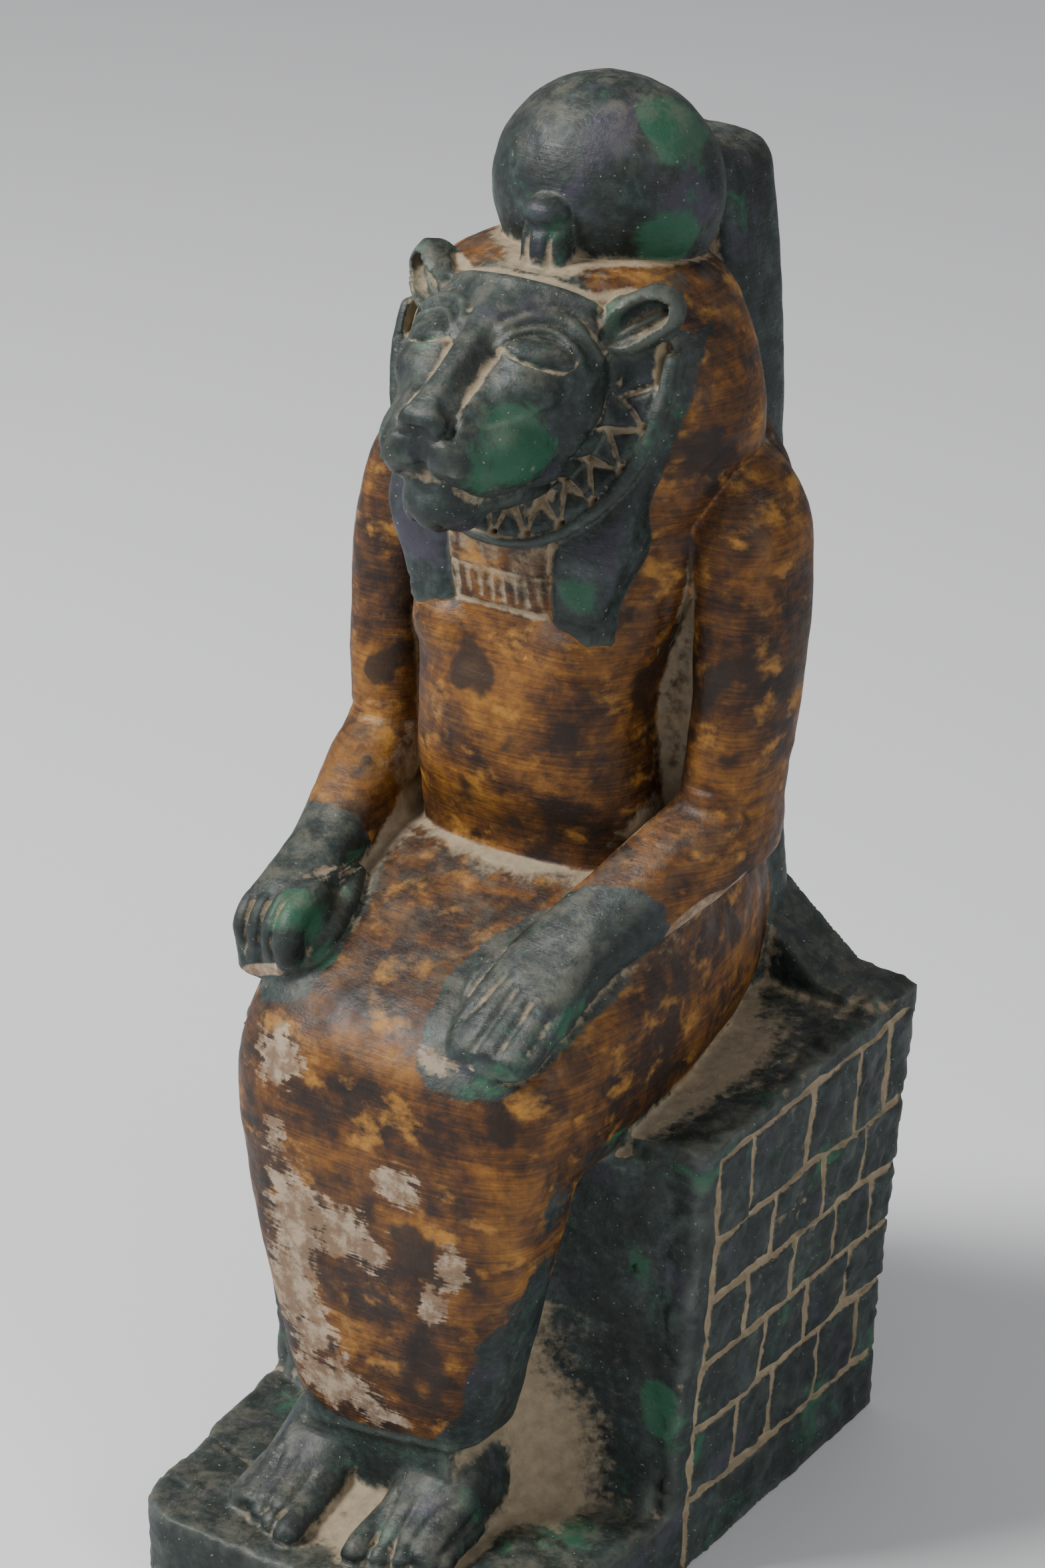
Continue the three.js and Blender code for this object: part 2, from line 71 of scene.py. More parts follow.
def noise(p, size, shift=0.0):
    q = p / size + shift
    cell = np.floor(q).astype(np.int32)
    t = (q - cell).astype(np.float32)
    t = t * t * (3 - 2 * t)
    a = cell & 31
    b = (cell + 1) & 31
    total = 0
    for i in (0, 1):
        x = (b if i else a)[:, 0]
        wx = t[:, 0] if i else 1 - t[:, 0]
        for j in (0, 1):
            y = (b if j else a)[:, 1]
            wy = t[:, 1] if j else 1 - t[:, 1]
            for k in (0, 1):
                z = (b if k else a)[:, 2]
                wz = t[:, 2] if k else 1 - t[:, 2]
                total = total + LATTICE[x, y, z] * (wx * wy * wz)
    return total


def smooth_min(a, b, k):
    h = np.clip(0.5 + 0.5 * (b - a) / k, 0, 1)
    return b + (a - b) * h - k * h * (1 - h)


def smooth_max(a, b, k):
    return -smooth_min(-a, -b, k)


# A smooth curve through rows of numbers, as a fine table over its first column; it never swings past a row
def fine(rows, steps=12):
    rows = np.array(rows, float)
    if rows[0, 0] > rows[-1, 0]:
        rows = rows[::-1]
    x = rows[:, 0]
    climb = np.diff(rows, axis=0) / np.diff(x)[:, None]
    before, after = climb[:-1], climb[1:]
    most = 2.5 * np.minimum(np.abs(before), np.abs(after))
    middle = np.where(before * after > 0, np.clip((before + after) / 2, -most, most), 0)
    slope = np.concatenate([climb[:1], middle, climb[-1:]])
    out = []
    for i in range(len(rows) - 1):
        gap = x[i + 1] - x[i]
        for s in np.arange(steps) / steps:
            a = 2 * s**3 - 3 * s**2 + 1
            b = s**3 - 2 * s**2 + s
            out.append(a * rows[i] + (1 - a) * rows[i + 1] + gap * (b * slope[i] + (s**3 - s**2) * slope[i + 1]))
    out.append(rows[-1])
    return np.array(out)


def path(points, steps=6):
    points = np.array(points, float)
    return fine(np.column_stack([np.arange(len(points)), points]), steps)[:, 1:]


def superellipse(u, v, wide, deep, power):
    g = (np.abs(u / wide) ** power + np.abs(v / deep) ** power) ** (1 / power)
    h = np.hypot(u, v)
    return h - np.minimum((h + 1e-4) / (g + 1e-6), 1.5 * np.maximum(wide, deep))


class Form:
    """A shape with a distance function, the box it lies in, a tone (above 0 green, below 0 amber) and its dust."""

    def __init__(self, distance, low, high, tone=3.0):
        self.distance = distance
        self.low = np.array(low, float)
        self.high = np.array(high, float)
        self.tone = tone
        self.dust = 0.0

    def near(self, p, pad):
        return np.flatnonzero(((p > self.low - pad) & (p < self.high + pad)).all(axis=1))


# A form that rises: rows of height, x, y, half width, half depth
def rising(rows, power=2.3, side=1, cap=1.5, tone=3.0):
    table = fine(rows)

    def distance(p):
        z = p[:, 2]
        x, y, wide, deep = (np.interp(z, table[:, 0], table[:, i]) for i in (1, 2, 3, 4))
        d = superellipse(p[:, 0] - side * x, p[:, 1] - y, wide, deep, power)
        return smooth_max(d, np.maximum(table[0, 0] - z, z - table[-1, 0]), cap)

    r = table.max(axis=0)
    x0, x1 = (table[:, 1] - table[:, 3]).min(), (table[:, 1] + table[:, 3]).max()
    if side < 0:
        x0, x1 = -x1, -x0
    return Form(distance, (x0, (table[:, 2] - table[:, 4]).min(), table[0, 0]),
                (x1, (table[:, 2] + table[:, 4]).max(), r[0]), tone)


# A form that runs forward: rows of y, x, z, half width, half height
def forward(rows, power=2.3, side=1, cap=1.5, tone=3.0):
    table = fine(rows)

    def distance(p):
        y = p[:, 1]
        x, z, wide, high = (np.interp(y, table[:, 0], table[:, i]) for i in (1, 2, 3, 4))
        d = superellipse(p[:, 0] - side * x, p[:, 2] - z, wide, high, power)
        return smooth_max(d, np.maximum(table[0, 0] - y, y - table[-1, 0]), cap)

    x0, x1 = (table[:, 1] - table[:, 3]).min(), (table[:, 1] + table[:, 3]).max()
    if side < 0:
        x0, x1 = -x1, -x0
    return Form(distance, (x0, table[0, 0], (table[:, 2] - table[:, 4]).min()),
                (x1, table[-1, 0], (table[:, 2] + table[:, 4]).max()), tone)


# Distance to a chain of points that carry a radius
def chain_distance(p, chain):
    best = np.full(len(p), 1e3)
    for a, b in zip(chain[:-1], chain[1:]):
        along = b[:3] - a[:3]
        t = np.clip((p - a[:3]) @ along / max(along @ along, 1e-9), 0, 1)
        gap = np.linalg.norm(p - a[:3] - t[:, None] * along, axis=1)
        best = np.minimum(best, gap - (a[3] + (b[3] - a[3]) * t))
    return best


def rod(rows, side=1, tone=3.0):
    chain = path([(side * x, y, z, r) for x, y, z, r in rows])
    r = chain[:, 3].max()
    return Form(lambda p: chain_distance(p, chain), chain[:, :3].min(axis=0) - r, chain[:, :3].max(axis=0) + r, tone)


# An ellipsoid; the rows of axes are its own directions
def ball(centre, radii, side=1, tone=3.0, axes=np.eye(3)):
    mirror = np.array([side, 1, 1])
    c = np.array(centre, float)
    r = np.array(radii, float)

    def distance(p):
        q = (p * mirror - c) @ axes.T
        k0 = np.linalg.norm(q / r, axis=1)
        k1 = np.linalg.norm(q / r**2, axis=1)
        return k0 * (k0 - 1) / np.maximum(k1, 1e-6)

    reach = r.max()
    return Form(distance, c * mirror - reach, c * mirror + reach, tone)


def dusty(form, amount):
    form.dust = amount
    return form


# The stone seat
def rounded(u, v, radius):
    a = np.maximum(u + radius, 0)
    b = np.maximum(v + radius, 0)
    return np.minimum(np.maximum(u, v) + radius, 0) + np.hypot(a, b) - radius


def plinth():
    def distance(p):
        x, y, z = np.abs(p[:, 0]), p[:, 1], p[:, 2]
        wide = np.interp(y, [-PLINTH["half"] + 14, THRONE["front"]], [PLINTH["front"], PLINTH["back"]])
        worn = 0.8 + 2.6 * noise(p, 9.0, 3.1) ** 2
        side = rounded(x - wide, -PLINTH["half"] - y, PLINTH["corner"])
        side = np.maximum(side, y - PLINTH["half"])
        return np.maximum(smooth_max(side, z - PLINTH["height"], worn), -z)

    return Form(distance, (-51, -71.5, 0), (51, 71.5, 17))


def seat_height(y):
    rise = (THRONE["seat_back"] - THRONE["seat_front"]) / 84
    return THRONE["seat_front"] + rise * (y - THRONE["front"])


def throne():
    def distance(p):
        x, y, z = np.abs(p[:, 0]), p[:, 1], p[:, 2]
        wide = THRONE["foot"] + (THRONE["head"] - THRONE["foot"]) * (z - 17) / 85.5
        worn = 1.0 + 3.2 * noise(p, 8.0, 1.7) ** 2
        side = smooth_max(x - wide, THRONE["front"] - y, worn)
        side = np.maximum(side, y - PLINTH["half"])
        return np.maximum(smooth_max(side, z - seat_height(y), worn), 8 - z)

    return Form(distance, (-57.1, -12.5, 8), (57.1, 71.5, 107))


def seat_back():
    def distance(p):
        x, y, z = np.abs(p[:, 0]), p[:, 1], p[:, 2]
        top = 0.75 * (z - np.interp(x, *SEAT_BACK))
        face = 54.5 - y + 0.12 * (z - 106)
        d = smooth_max(smooth_max(top, face, 1.6), x - 54.9, 1.5)
        return np.maximum(np.maximum(d, y - PLINTH["half"]), 98 - z)

    return Form(distance, (-55, 52, 98), (55, 71.5, 125))


# The dress is swept: each section runs from an inner to an outer point in the side view
DRESS = [
    (60, 104, 60, 138, 27), (42, 100, 42, 146, 34.6), (24, 97, 24, 149.4, 38.8), (6, 94, 6, 149, 40.4),
    (-8, 92, -8, 144.4, 40.6), (-18, 91, -20, 139, 40.2), (-20, 91, -31, 133.8, 39.4),
    (-20, 90, -39.8, 128.2, 38.2), (-20, 89, -46.4, 120, 37.2), (-20, 88, -48.8, 109, 36.6),
    (-19, 86, -49.8, 97, 35.4), (-19.6, 74, -49.8, 79, 31.8), (-20.4, 58, -48.8, 61, 28),
    (-22, 42, -46.6, 43.4, 24.4), (-23.4, 34.4, -44.4, 34.8, 22.2), (-24.4, 32, -42.8, 32, 20.4),
]


def dress():
    rows = path(DRESS, 10)
    pitch = 0.75
    ys = np.arange(-62, 66, pitch)
    zs = np.arange(26, 162, pitch)
    py, pz = np.meshgrid(ys, zs, indexing="ij")
    inner, outer = rows[:, :2], rows[:, 2:4]
    half = np.linalg.norm(outer - inner, axis=1) / 2
    middle = (outer + inner) / 2
    along = (outer - inner) / (2 * half[:, None])
    best = np.full(py.shape, 1e9)
    share = np.zeros(py.shape)
    index = np.zeros(py.shape)
    last = None
    for i in range(len(rows)):
        e = along[i, 1] * (py - middle[i, 0]) - along[i, 0] * (pz - middle[i, 1])
        s = along[i, 0] * (py - middle[i, 0]) + along[i, 1] * (pz - middle[i, 1])
        if last is not None:
            e0, s0 = last
            t = e0 / np.where(np.abs(e0 - e) < 1e-9, 1e-9, e0 - e)
            at = s0 + (s - s0) * t
            away = np.abs(at) - (half[i - 1] + (half[i] - half[i - 1]) * t)
            ok = (e0 * e <= 0) & (away < best)
            best[ok] = away[ok]
            share[ok] = at[ok]
            index[ok] = (i - 1 + t)[ok]
        last = (e, s)
    behind = py > 60
    index[best > 1e8] = np.where(behind[best > 1e8], 0, len(rows) - 1)
    first = best > 1e8
    share[first] = np.where(behind, pz - 121, py + 33.6)[first]

    def lookup(grid, p):
        u = np.clip((p[:, 1] - ys[0]) / pitch, 0, len(ys) - 1.001)
        v = np.clip((p[:, 2] - zs[0]) / pitch, 0, len(zs) - 1.001)
        i, j = u.astype(int), v.astype(int)
        u, v = u - i, v - j
        return (grid[i, j] * (1 - u) * (1 - v) + grid[i + 1, j] * u * (1 - v)
                + grid[i, j + 1] * (1 - u) * v + grid[i + 1, j + 1] * u * v)

    def distance(p):
        at = lookup(index, p)
        s = lookup(share, p)
        steps = np.arange(len(rows))
        h = np.interp(at, steps, half)
        wide = np.interp(at, steps, rows[:, 4])
        d = superellipse(p[:, 0], s, wide, h, 3.3)
        return smooth_max(d, np.maximum(34.8 + 0.17 * p[:, 0] - p[:, 2], p[:, 1] - 60), 2.0)

    return Form(distance, (-41, -50, 31), (41, 60, 150), tone=-3.0)


# The mane is a leaning ring round the face
def mane_place(p):
    drop = MANE["centre"] - p[:, 2]
    reach = np.hypot(p[:, 0] / MANE["wide"], drop / MANE["high"])
    grow = (reach - 1) * 27.5
    angle = np.arctan2(drop / MANE["high"], -p[:, 0] / MANE["wide"])
    front = p[:, 1] - (MANE["y"] - MANE["lean"] * drop)
    return grow, angle, front, drop


def mane(kind):
    def distance(p):
        grow, angle, front, drop = mane_place(p)
        if kind == "bed":
            d = smooth_max(np.abs(grow + 0.2) - 4.6, np.abs(front) - 4.2, 1.2)
        else:
            across = np.abs(grow - 4.9 + 1.3 * np.sin(angle) ** 4)
            d = np.hypot(across, (front + 2.4) * 0.9) - 1.6
            d = np.minimum(d, np.maximum(across - 1.5, np.abs(front - 1) - 3.4))
        return smooth_max(d, -5.5 - drop, 1.5)

    return Form(distance, (-33, -8, 213), (33, 18, 256))


def locks(p):
    grow, angle, front, drop = mane_place(p)
    share = np.clip(angle / math.pi, 0, 1) * MANE["locks"]
    wave = np.abs(2 * (share - np.floor(share)) - 1)
    line = (grow + 4.4) / 7.4 - wave
    gap = np.abs(line) * 3.2
    here = ((grow > -5.2) & (grow < 3.6) & (front < 0) & (drop > -7)).astype(float)
    groove = -1.3 * np.exp(-((gap / 0.75) ** 2))
    edge = -0.8 * np.exp(-(((grow - 3.1) / 0.6) ** 2))
    return here * (groove + edge + 0.25)


# Strokes: shallow lines cut (below 0) or raised along a curve
def stroke(points, deep, wide, sides=(1,)):
    out = []
    for side in sides:
        chain = path([(side * x, y, z, 0.0) for x, y, z in points], 4)
        out.append((chain, deep, wide, chain[:, :3].min(axis=0) - 3 * wide, chain[:, :3].max(axis=0) + 3 * wide))
    return out


def stroke_value(p, strokes):
    total = np.zeros(len(p))
    for chain, deep, wide, lo, hi in strokes:
        if (p.min(axis=0) > hi).any() or (p.max(axis=0) < lo).any():
            continue
        here = np.flatnonzero(((p > lo) & (p < hi)).all(axis=1))
        if len(here):
            gap = chain_distance(p[here], chain)
            total[here] += deep * np.exp(-((gap / wide) ** 2))
    return total


def place_tone(direction, offset, soft=1.0):
    """A tone that changes across a plane: green on the side that direction points to."""
    direction = np.array(direction, float)
    return lambda p: np.clip((p @ direction - offset + 1.6 * (noise(p, 5.0, 9.0) - 0.5)) / soft, -3, 3)


# Sun disc and cobra
def crown():
    yield ball((0, 35.4, 277.9), (23.8, 20.4, 21.9)), "add", 1.2
    hood = rising([(262, 0, 15, 5.2, 4.8), (270, 0, 14.8, 5, 4.4), (275, 0, 15.4, 4.6, 4.2), (277, 0, 16, 3.6, 4)], 3)
    yield hood, "add", 1.0
    yield ball((0, 14.4, 277.4), (5, 4.4, 3)), "add", 0.8


# Head of a lioness: skull, muzzle, bridge of the nose, whisker pads, chin, eyes and ears
# The eye lies in the slope of the forehead: its corners, the middle of its lids and its bulge
EYE_CORNERS = np.array([(5.6, -9.7, 257.5), (18.8, -3.1, 255.2)])
EYE_LIDS = np.array([(13.2, -10.8, 255.1), (12.2, -3.4, 259.7)])


def eye(side):
    along = np.subtract(*EYE_CORNERS[::-1])
    across = np.subtract(*EYE_LIDS[::-1])
    length = np.linalg.norm(along)
    along = along / length
    out = np.cross(along, across)
    out /= np.linalg.norm(out)
    axes = np.array([along, np.cross(out, along), out])
    middle = EYE_CORNERS.mean(axis=0) * 0.5 + EYE_LIDS.mean(axis=0) * 0.5
    return ball(middle - 0.5 * out, (0.47 * length, 4.0, 2.3), side, axes=axes)


# The forehead is two planes that meet over the nose
def forehead():
    def distance(p):
        aside = np.hypot(p[:, 0], 4.0) - 2.0
        return 0.6 - (0.338 * aside - 0.475 * (p[:, 1] - 1.6) + 0.812 * (p[:, 2] - 267))

    return Form(distance, (-19, -9, 255), (19, 4, 268))


# The bridge of the nose: a narrow flat top that widens upward, with sides that slope to the tear lines
def bridge():
    def distance(p):
        x, y, z = np.abs(p[:, 0]), p[:, 1], p[:, 2]
        top = np.interp(y, [-28.6, -24, -16, -8, -3, 3], [249.2, 252.2, 257.2, 261.8, 263.6, 265])
        half = np.interp(y, [-28.6, -25, -16, -8, -3], [3.4, 2.2, 1.7, 2.2, 3.5])
        over = 0.86 * (z - top)
        side = 0.84 * (x - half) + 0.46 * (z - top)
        return np.maximum(smooth_max(smooth_max(over, side, 0.8), -28.8 - y, 1.2), np.maximum(y - 3, 238 - z))

    return Form(distance, (-14, -29, 238), (14, 3, 267))


def head():
    yield forward([(26, 0, 250, 18, 16), (12, 0, 249, 20, 18), (3, 0, 248, 20.8, 19.4), (-3, 0, 248, 19.4, 18.8),
                   (-7, 0, 248, 15.4, 15.6), (-9.4, 0, 248, 9.6, 12)], 2.7, cap=2.4), "add", 1.5
    yield forehead(), "cut", 1.2
    yield forward([(4, 0, 242, 17, 16.4), (-5, 0, 241, 16.2, 16), (-13, 0, 239.6, 14.4, 14), (-19.6, 0, 239.4, 12.2, 12),
                   (-24.6, 0, 240, 9, 9.4), (-27, 0, 240.6, 6, 7)], 2.4, cap=3), "add", 2.4
    yield bridge(), "add", 1.2
    yield ball((0, -19.6, 229.4), (8.8, 7.6, 6)), "add", 1.6
    yield ball((0, -27, 247.2), (5.2, 2.2, 2.4)), "add", 0.8
    for side in SIDES:
        yield ball((6, -21.6, 239.6), (6, 6.8, 6.4), side=side), "add", 1.0
        yield ball((10.6, -13, 239.4), (5.6, 10.5, 7.2), side=side), "add", 1.8
        yield ball((9.6, -8.4, 250.4), (8.4, 7, 5.6), side=side), "add", 4.0
        yield eye(side), "add", 0.3
        yield rod([(19.6, 9, 256.4, 2), (22.4, 10, 260, 5.6), (25.6, 13.4, 262.6, 5)], side), "add", 1.0
        yield rod([(19.8, 4.4, 257, 1), (22.2, 5.2, 260, 3.2), (26.2, 9, 262.6, 3), (28, 12, 263.4, 1.4)],
              side), "cut", 0.4
        yield rod([(20.6, 7.6, 257.4, 0.7), (23.4, 9, 260, 0.8), (26.6, 12.4, 262.2, 0.7)], side), "add", 0.5


LID = [(5.6, -9.7, 257.5), (7.9, -6.8, 259.5), (9.6, -4.9, 259.9), (12, -3.5, 259.8), (14.9, -3, 258.9),
       (17.6, -3.3, 257.3), (18.8, -3.1, 255.2), (17.5, -5.6, 254.2), (15.9, -8.1, 254.2), (14.1, -10.4, 254.9),
       (11.3, -11.2, 255.6), (8.1, -10.6, 256.4), (5.6, -9.7, 257.5)]


def lid(scale):
    middle = np.mean(LID[:-1], axis=0)
    return [tuple(middle + (np.array(p) - middle) * scale) for p in LID]


# Carved lines round the eye, which also carry pale dust in the tear line beside the bridge and a painted highlight
# along the raised lower lid and the rim over the eye
FACE_LINES = (
    stroke(lid(1.04)[6:], 1.3, 0.7, SIDES)
    + stroke([(4.7, -7.7, 260.4), (6, -5.3, 261.5), (8, -2.6, 262.2), (10.8, -0.5, 262), (14.3, 0.4, 261.1),
              (17.7, 0.4, 259.6), (19.6, 1.2, 257.2), (20.3, 2.1, 255)], 1.2, 0.75, SIDES)
    + stroke([(5.5, -10, 257.1), (5.1, -14.2, 254.3), (5.1, -18.4, 251.4), (5.7, -22.3, 249.4), (6, -24.1, 248.1)],
             -0.8, 0.9, SIDES)
)
HEAD_STROKES = (
    stroke(lid(1.04)[:7], 1.3, 0.7, SIDES)
    + stroke(lid(0.87), -1.1, 0.6, SIDES)
    # Hollow between the lid and the rim, and the shadow line over the rim
    + stroke([(7.4, -5.6, 260.6), (10.6, -2.6, 261), (14.4, -1.4, 260.2), (17.8, -1.4, 258.4), (19.4, -0.6, 256)],
             -0.6, 0.8, SIDES)
    + stroke([(4, -6, 262), (5.8, -3.6, 263), (8, -1, 263.6), (11.4, 1.6, 263.4), (15.2, 2.4, 262), (18.8, 2.4, 260),
              (21, 3, 257.4)], -0.8, 0.8, SIDES)
    # Upper edge of the whisker pad
    + stroke([(7.3, -25.2, 245.5), (9.8, -22.2, 245.5), (11.8, -19, 245.7), (13.8, -14.7, 246.3),
              (15.7, -12.7, 248.3), (17.6, -10.5, 249.9)], 0.5, 0.7, SIDES)
    # Nostrils, lip cleft and mouth
    + stroke([(1.5, -29, 245.2), (3.8, -28.4, 244.2), (5.8, -26.6, 245.4), (6.2, -25.4, 247.2)], -1.7, 0.8, SIDES)
    + stroke([(0.2, -29, 244.6), (0.3, -27.6, 240), (0.2, -27, 235.6)], -1.8, 1.5)
    + stroke([(0, -27.4, 235.4), (3.4, -27.6, 235), (6.4, -26, 233.6), (8.8, -22.8, 231.6), (10.4, -19, 230.4),
              (12, -15.4, 230.6), (14, -11.4, 232.4)], -1.9, 0.8, SIDES)
    # Jaw line above the ruff
    + stroke([(22.4, 6.7, 252), (20.6, 4.6, 246), (18.9, 1, 241.4), (15.9, -2.5, 235), (12, -1.6, 229), (7, -2, 223)],
             -0.8, 0.9, SIDES)
    # Rim of the ear
    + stroke([(19.4, 7, 257.6), (20.4, 7.6, 262.6), (23, 9, 266), (27, 12.6, 267), (30, 16, 263.6), (28.6, 13, 258.6),
              (24, 9, 255.4), (20, 7.4, 256)], 0.5, 0.8, SIDES)
    # Cobra: two grooves beside the middle of its hood, and the groove under its head
    + stroke([(2.7, 10.8, 263), (2.7, 10.6, 268), (2.6, 10.8, 273.4)], -1.6, 0.75, SIDES)
    + stroke([(-4, 12.2, 274.6), (0, 10.8, 274.2), (4, 12.2, 274.6)], -0.8, 0.6)
    # Edge of the headcloth over the forehead
    + stroke([(-20, 9.5, 264), (-14, 5, 265.8), (0, 1.6, 267.2), (14, 5, 265.8), (20, 9.5, 264)], 0.9, 0.9)
    + stroke([(-20, 13, 264.6), (-14, 8, 266.8), (0, 4.4, 267.8), (14, 8, 266.8), (20, 13, 264.6)], -1.2, 1.0)
)


# Wig, lappets, collar, trunk
def wig_tone(p):
    grow, _, front, _ = mane_place(p)
    rim = np.where((front < 8) & (p[:, 2] < 259), 8.4 - grow, -3.0)
    return np.clip(rim + 1.4 * (noise(p, 4.0, 5.0) - 0.5), -3, 3)


def torso():
    yield dusty(rising([(100, 0, 48, 27, 14), (146, 0, 42, 31, 18), (151, 0, 34.6, 38, 17), (206, 0, 37.6, 39, 18),
                        (224, 0, 40, 36, 15), (234, 0, 42, 29, 12)], 4, tone=-1.2), 0.5), "add", 2.0
    for side in SIDES:
        web = rising([(124, 32.5, 5, 7, 17.4), (140, 33, 6, 6.8, 16.4), (150.6, 34.6, 8.4, 5.2, 13)], 2.6, side,
                     tone=-1.2)
        yield dusty(web, 0.5), "add", 2.0
    yield rising([(140, 0, 17, 27, 16), (152, 0, 16, 27.4, 15), (164, 0, 13.6, 26, 17), (180, 0, 12.4, 24.6, 17.8),
                  (190, 0, 14, 26.4, 17), (200, 0, 15.6, 30, 16.4), (212, 0, 19, 33, 16), (224, 0, 24, 34, 14),
                  (233, 0, 29, 30, 10)], 2.5, tone=-3.0), "add", 1.2
    for side in SIDES:
        yield ball((13.4, 4.6, 194.2), (10.4, 8, 8.4), side=side, tone=-3.0), "add", 2.4


def clothes():
    yield rising([(200, 0, 27, 24, 23), (214, 0, 25.6, 31, 23.7), (226, 0, 25.4, 37, 23.9), (238, 0, 25.4, 39, 23.4),
                  (248, 0, 25.8, 37.4, 23), (256, 0, 26.4, 34, 22.4), (262, 0, 27.4, 29.6, 21.4),
                  (266, 0, 28, 24.6, 19), (268, 0, 28.5, 18, 15.5)], 2.5, tone=wig_tone), "add", 0.6
    yield dusty(rising([(198.6, 0, 6, 12, 6.8), (209, 0, 4.4, 12, 7.2), (218.3, 0, 3.2, 12, 7.4)], 6,
                       tone=-2.0), 0.5), "add", 0.4
    for side in SIDES:
        yield rising([(198, 17.1, 5, 6.3, 6), (207, 17.6, 4.6, 6.8, 6.4), (217, 19.6, 5, 8.2, 7),
                      (226, 21.5, 7, 6.8, 6.4), (236, 26.4, 11.5, 4.4, 6), (246, 28.5, 15, 3.4, 4)],
                     4, side, cap=0.8), "add", 0.6


BODY_STROKES = (
    stroke([(10.4, -1.6, 202.8), (17, -1.8, 202.6), (23.8, 0, 202.6)], -0.9, 0.6, SIDES)
    + stroke([(-11, -1.4, 203), (0, -1.6, 203), (11, -1.4, 203)], 0.5, 0.5)
    + stroke([(-11, -1.4, 201.4), (0, -1.6, 201.4), (11, -1.4, 201.4)], -1.0, 0.6)
    + stroke([(-11, -1.8, 209.6), (0, -2.8, 209.6), (11, -1.8, 209.6)], -0.7, 0.5)
    + [s for i in range(8) for s in stroke([(-9.6 + 2.7 * i, -1.2, 203.4), (-9.6 + 2.7 * i, -2.8, 208.4)], -1.0, 0.5)]
    # Creases: wig to shoulder, breast to arm, elbow, and the hem
    + stroke([(23.3, -1, 199), (27, 2, 207), (31, 4, 217), (34, 10, 227), (38, 15, 232), (42, 20, 236)],
             -0.7, 1.1, SIDES)
    + stroke([(31.5, 10, 206), (31, 12, 196), (30, 16, 180), (30.4, 16.4, 166), (31, 14, 156)], -0.8, 0.9, SIDES)
    + stroke([(36.6, 9, 169), (41, 9, 169), (45, 11, 167.8), (48, 15.4, 163.4)], -0.8, 0.7, SIDES)
    + stroke([(-24, -38, 32.4), (-17.9, -42.1, 33.4), (0, -44.5, 36.2), (14, -44.1, 38.6), (22, -40.7, 40)], 0.5, 0.8)
)


# Arms: the right hand is a fist, the left hand lies flat
def arms():
    for side in SIDES:
        yield rising([(149.5, 38.6, 22, 4.6, 7), (153, 39.4, 21.6, 7.4, 10.6), (160, 40, 21.4, 8.6, 12.2),
                      (170, 40.4, 22.6, 8.9, 12.2), (184, 41, 24.6, 9.4, 12.4), (197, 41, 26, 9.8, 13),
                      (209, 39.6, 27.4, 10.4, 13.4), (219, 37, 29, 11.4, 13.2), (226, 34, 30, 10.8, 11.6),
                      (232, 30, 31, 9.6, 9)], 2.5, side, cap=3, tone=-3.0), "add", 1.2


WRIST_LEFT = place_tone((0.25, -0.93, -0.26), -24.0)
WRIST_RIGHT = place_tone((0.0, -0.93, -0.36), -46.4)
FLAT_HAND = forward([(33, 39.6, 158, 6, 6), (26, 40.2, 158, 8.4, 8.6), (16, 40, 157.6, 9.4, 9.2),
                     (6, 37.2, 153.4, 9.4, 9), (-4, 33, 148, 8.8, 8.2), (-12, 29.4, 143.4, 9, 7.2),
                     (-20, 26.2, 138.8, 10.2, 6.4), (-28, 24.8, 134.2, 10.8, 5.4), (-35, 24.6, 130.6, 10.6, 4.2),
                     (-39.4, 24.6, 128, 10, 3.4), (-42.2, 24.6, 126, 8.4, 2.8)], 2.8, cap=2.0, tone=WRIST_LEFT)
FIST_ARM = forward([(33, 39.6, 158, 6, 6), (26, 40.2, 158, 8.4, 8.6), (16, 40, 157.6, 9.4, 9.2),
                    (6, 38.6, 153.8, 9, 9), (-4, 36.6, 149, 8.2, 8.2), (-12, 35, 144.6, 7.8, 7.6),
                    (-20, 33.8, 140.2, 8.4, 8.2), (-29, 33, 136.6, 9, 8.2), (-33, 32.8, 135, 8, 7)],
                   2.5, RIGHT, cap=3, tone=WRIST_RIGHT)
FIST_PAD = forward([(-6, 33, 136, 8, 6), (-16, 31.4, 133, 10.2, 5.2), (-33, 30.8, 129.6, 9.4, 3.6),
                    (-37.4, 30.8, 128.8, 8, 2.8)], 4, RIGHT, cap=1.6)


def hands():
    yield FLAT_HAND, "add", 1.4
    yield rod([(21.6, -10, 142.5, 3), (16.8, -19, 138.6, 3.1), (14, -27, 134.8, 2.7), (13.8, -31.6, 132.6, 1.6)],
              tone=3.0), "add", 0.8
    yield FIST_ARM, "add", 1.4
    for i, radius in enumerate((3.2, 2.8, 2.7, 2.5)):
        x = 26.2 + 4.2 * i
        back = 0.9 * i
        yield rod([(x, -27 + back, 142.4 - 0.5 * i, radius), (x, -34.4 + back, 140.6 - 0.6 * i, radius),
                   (x, -36.8 + back, 135.6 - 0.4 * i, radius), (x, -34.6 + back, 130.4, radius * 0.9)],
                  RIGHT), "add", 0.3
    yield rod([(27, -14, 141, 3), (24, -21, 138.4, 3.1), (22.6, -28, 135, 2.9), (23.4, -33, 131.4, 2.2)],
              RIGHT), "add", 0.5
    yield ball((26.4, -27, 136.4), (4.6, 8, 7), side=RIGHT), "add", 1.0
    yield FIST_PAD, "add", 2.8


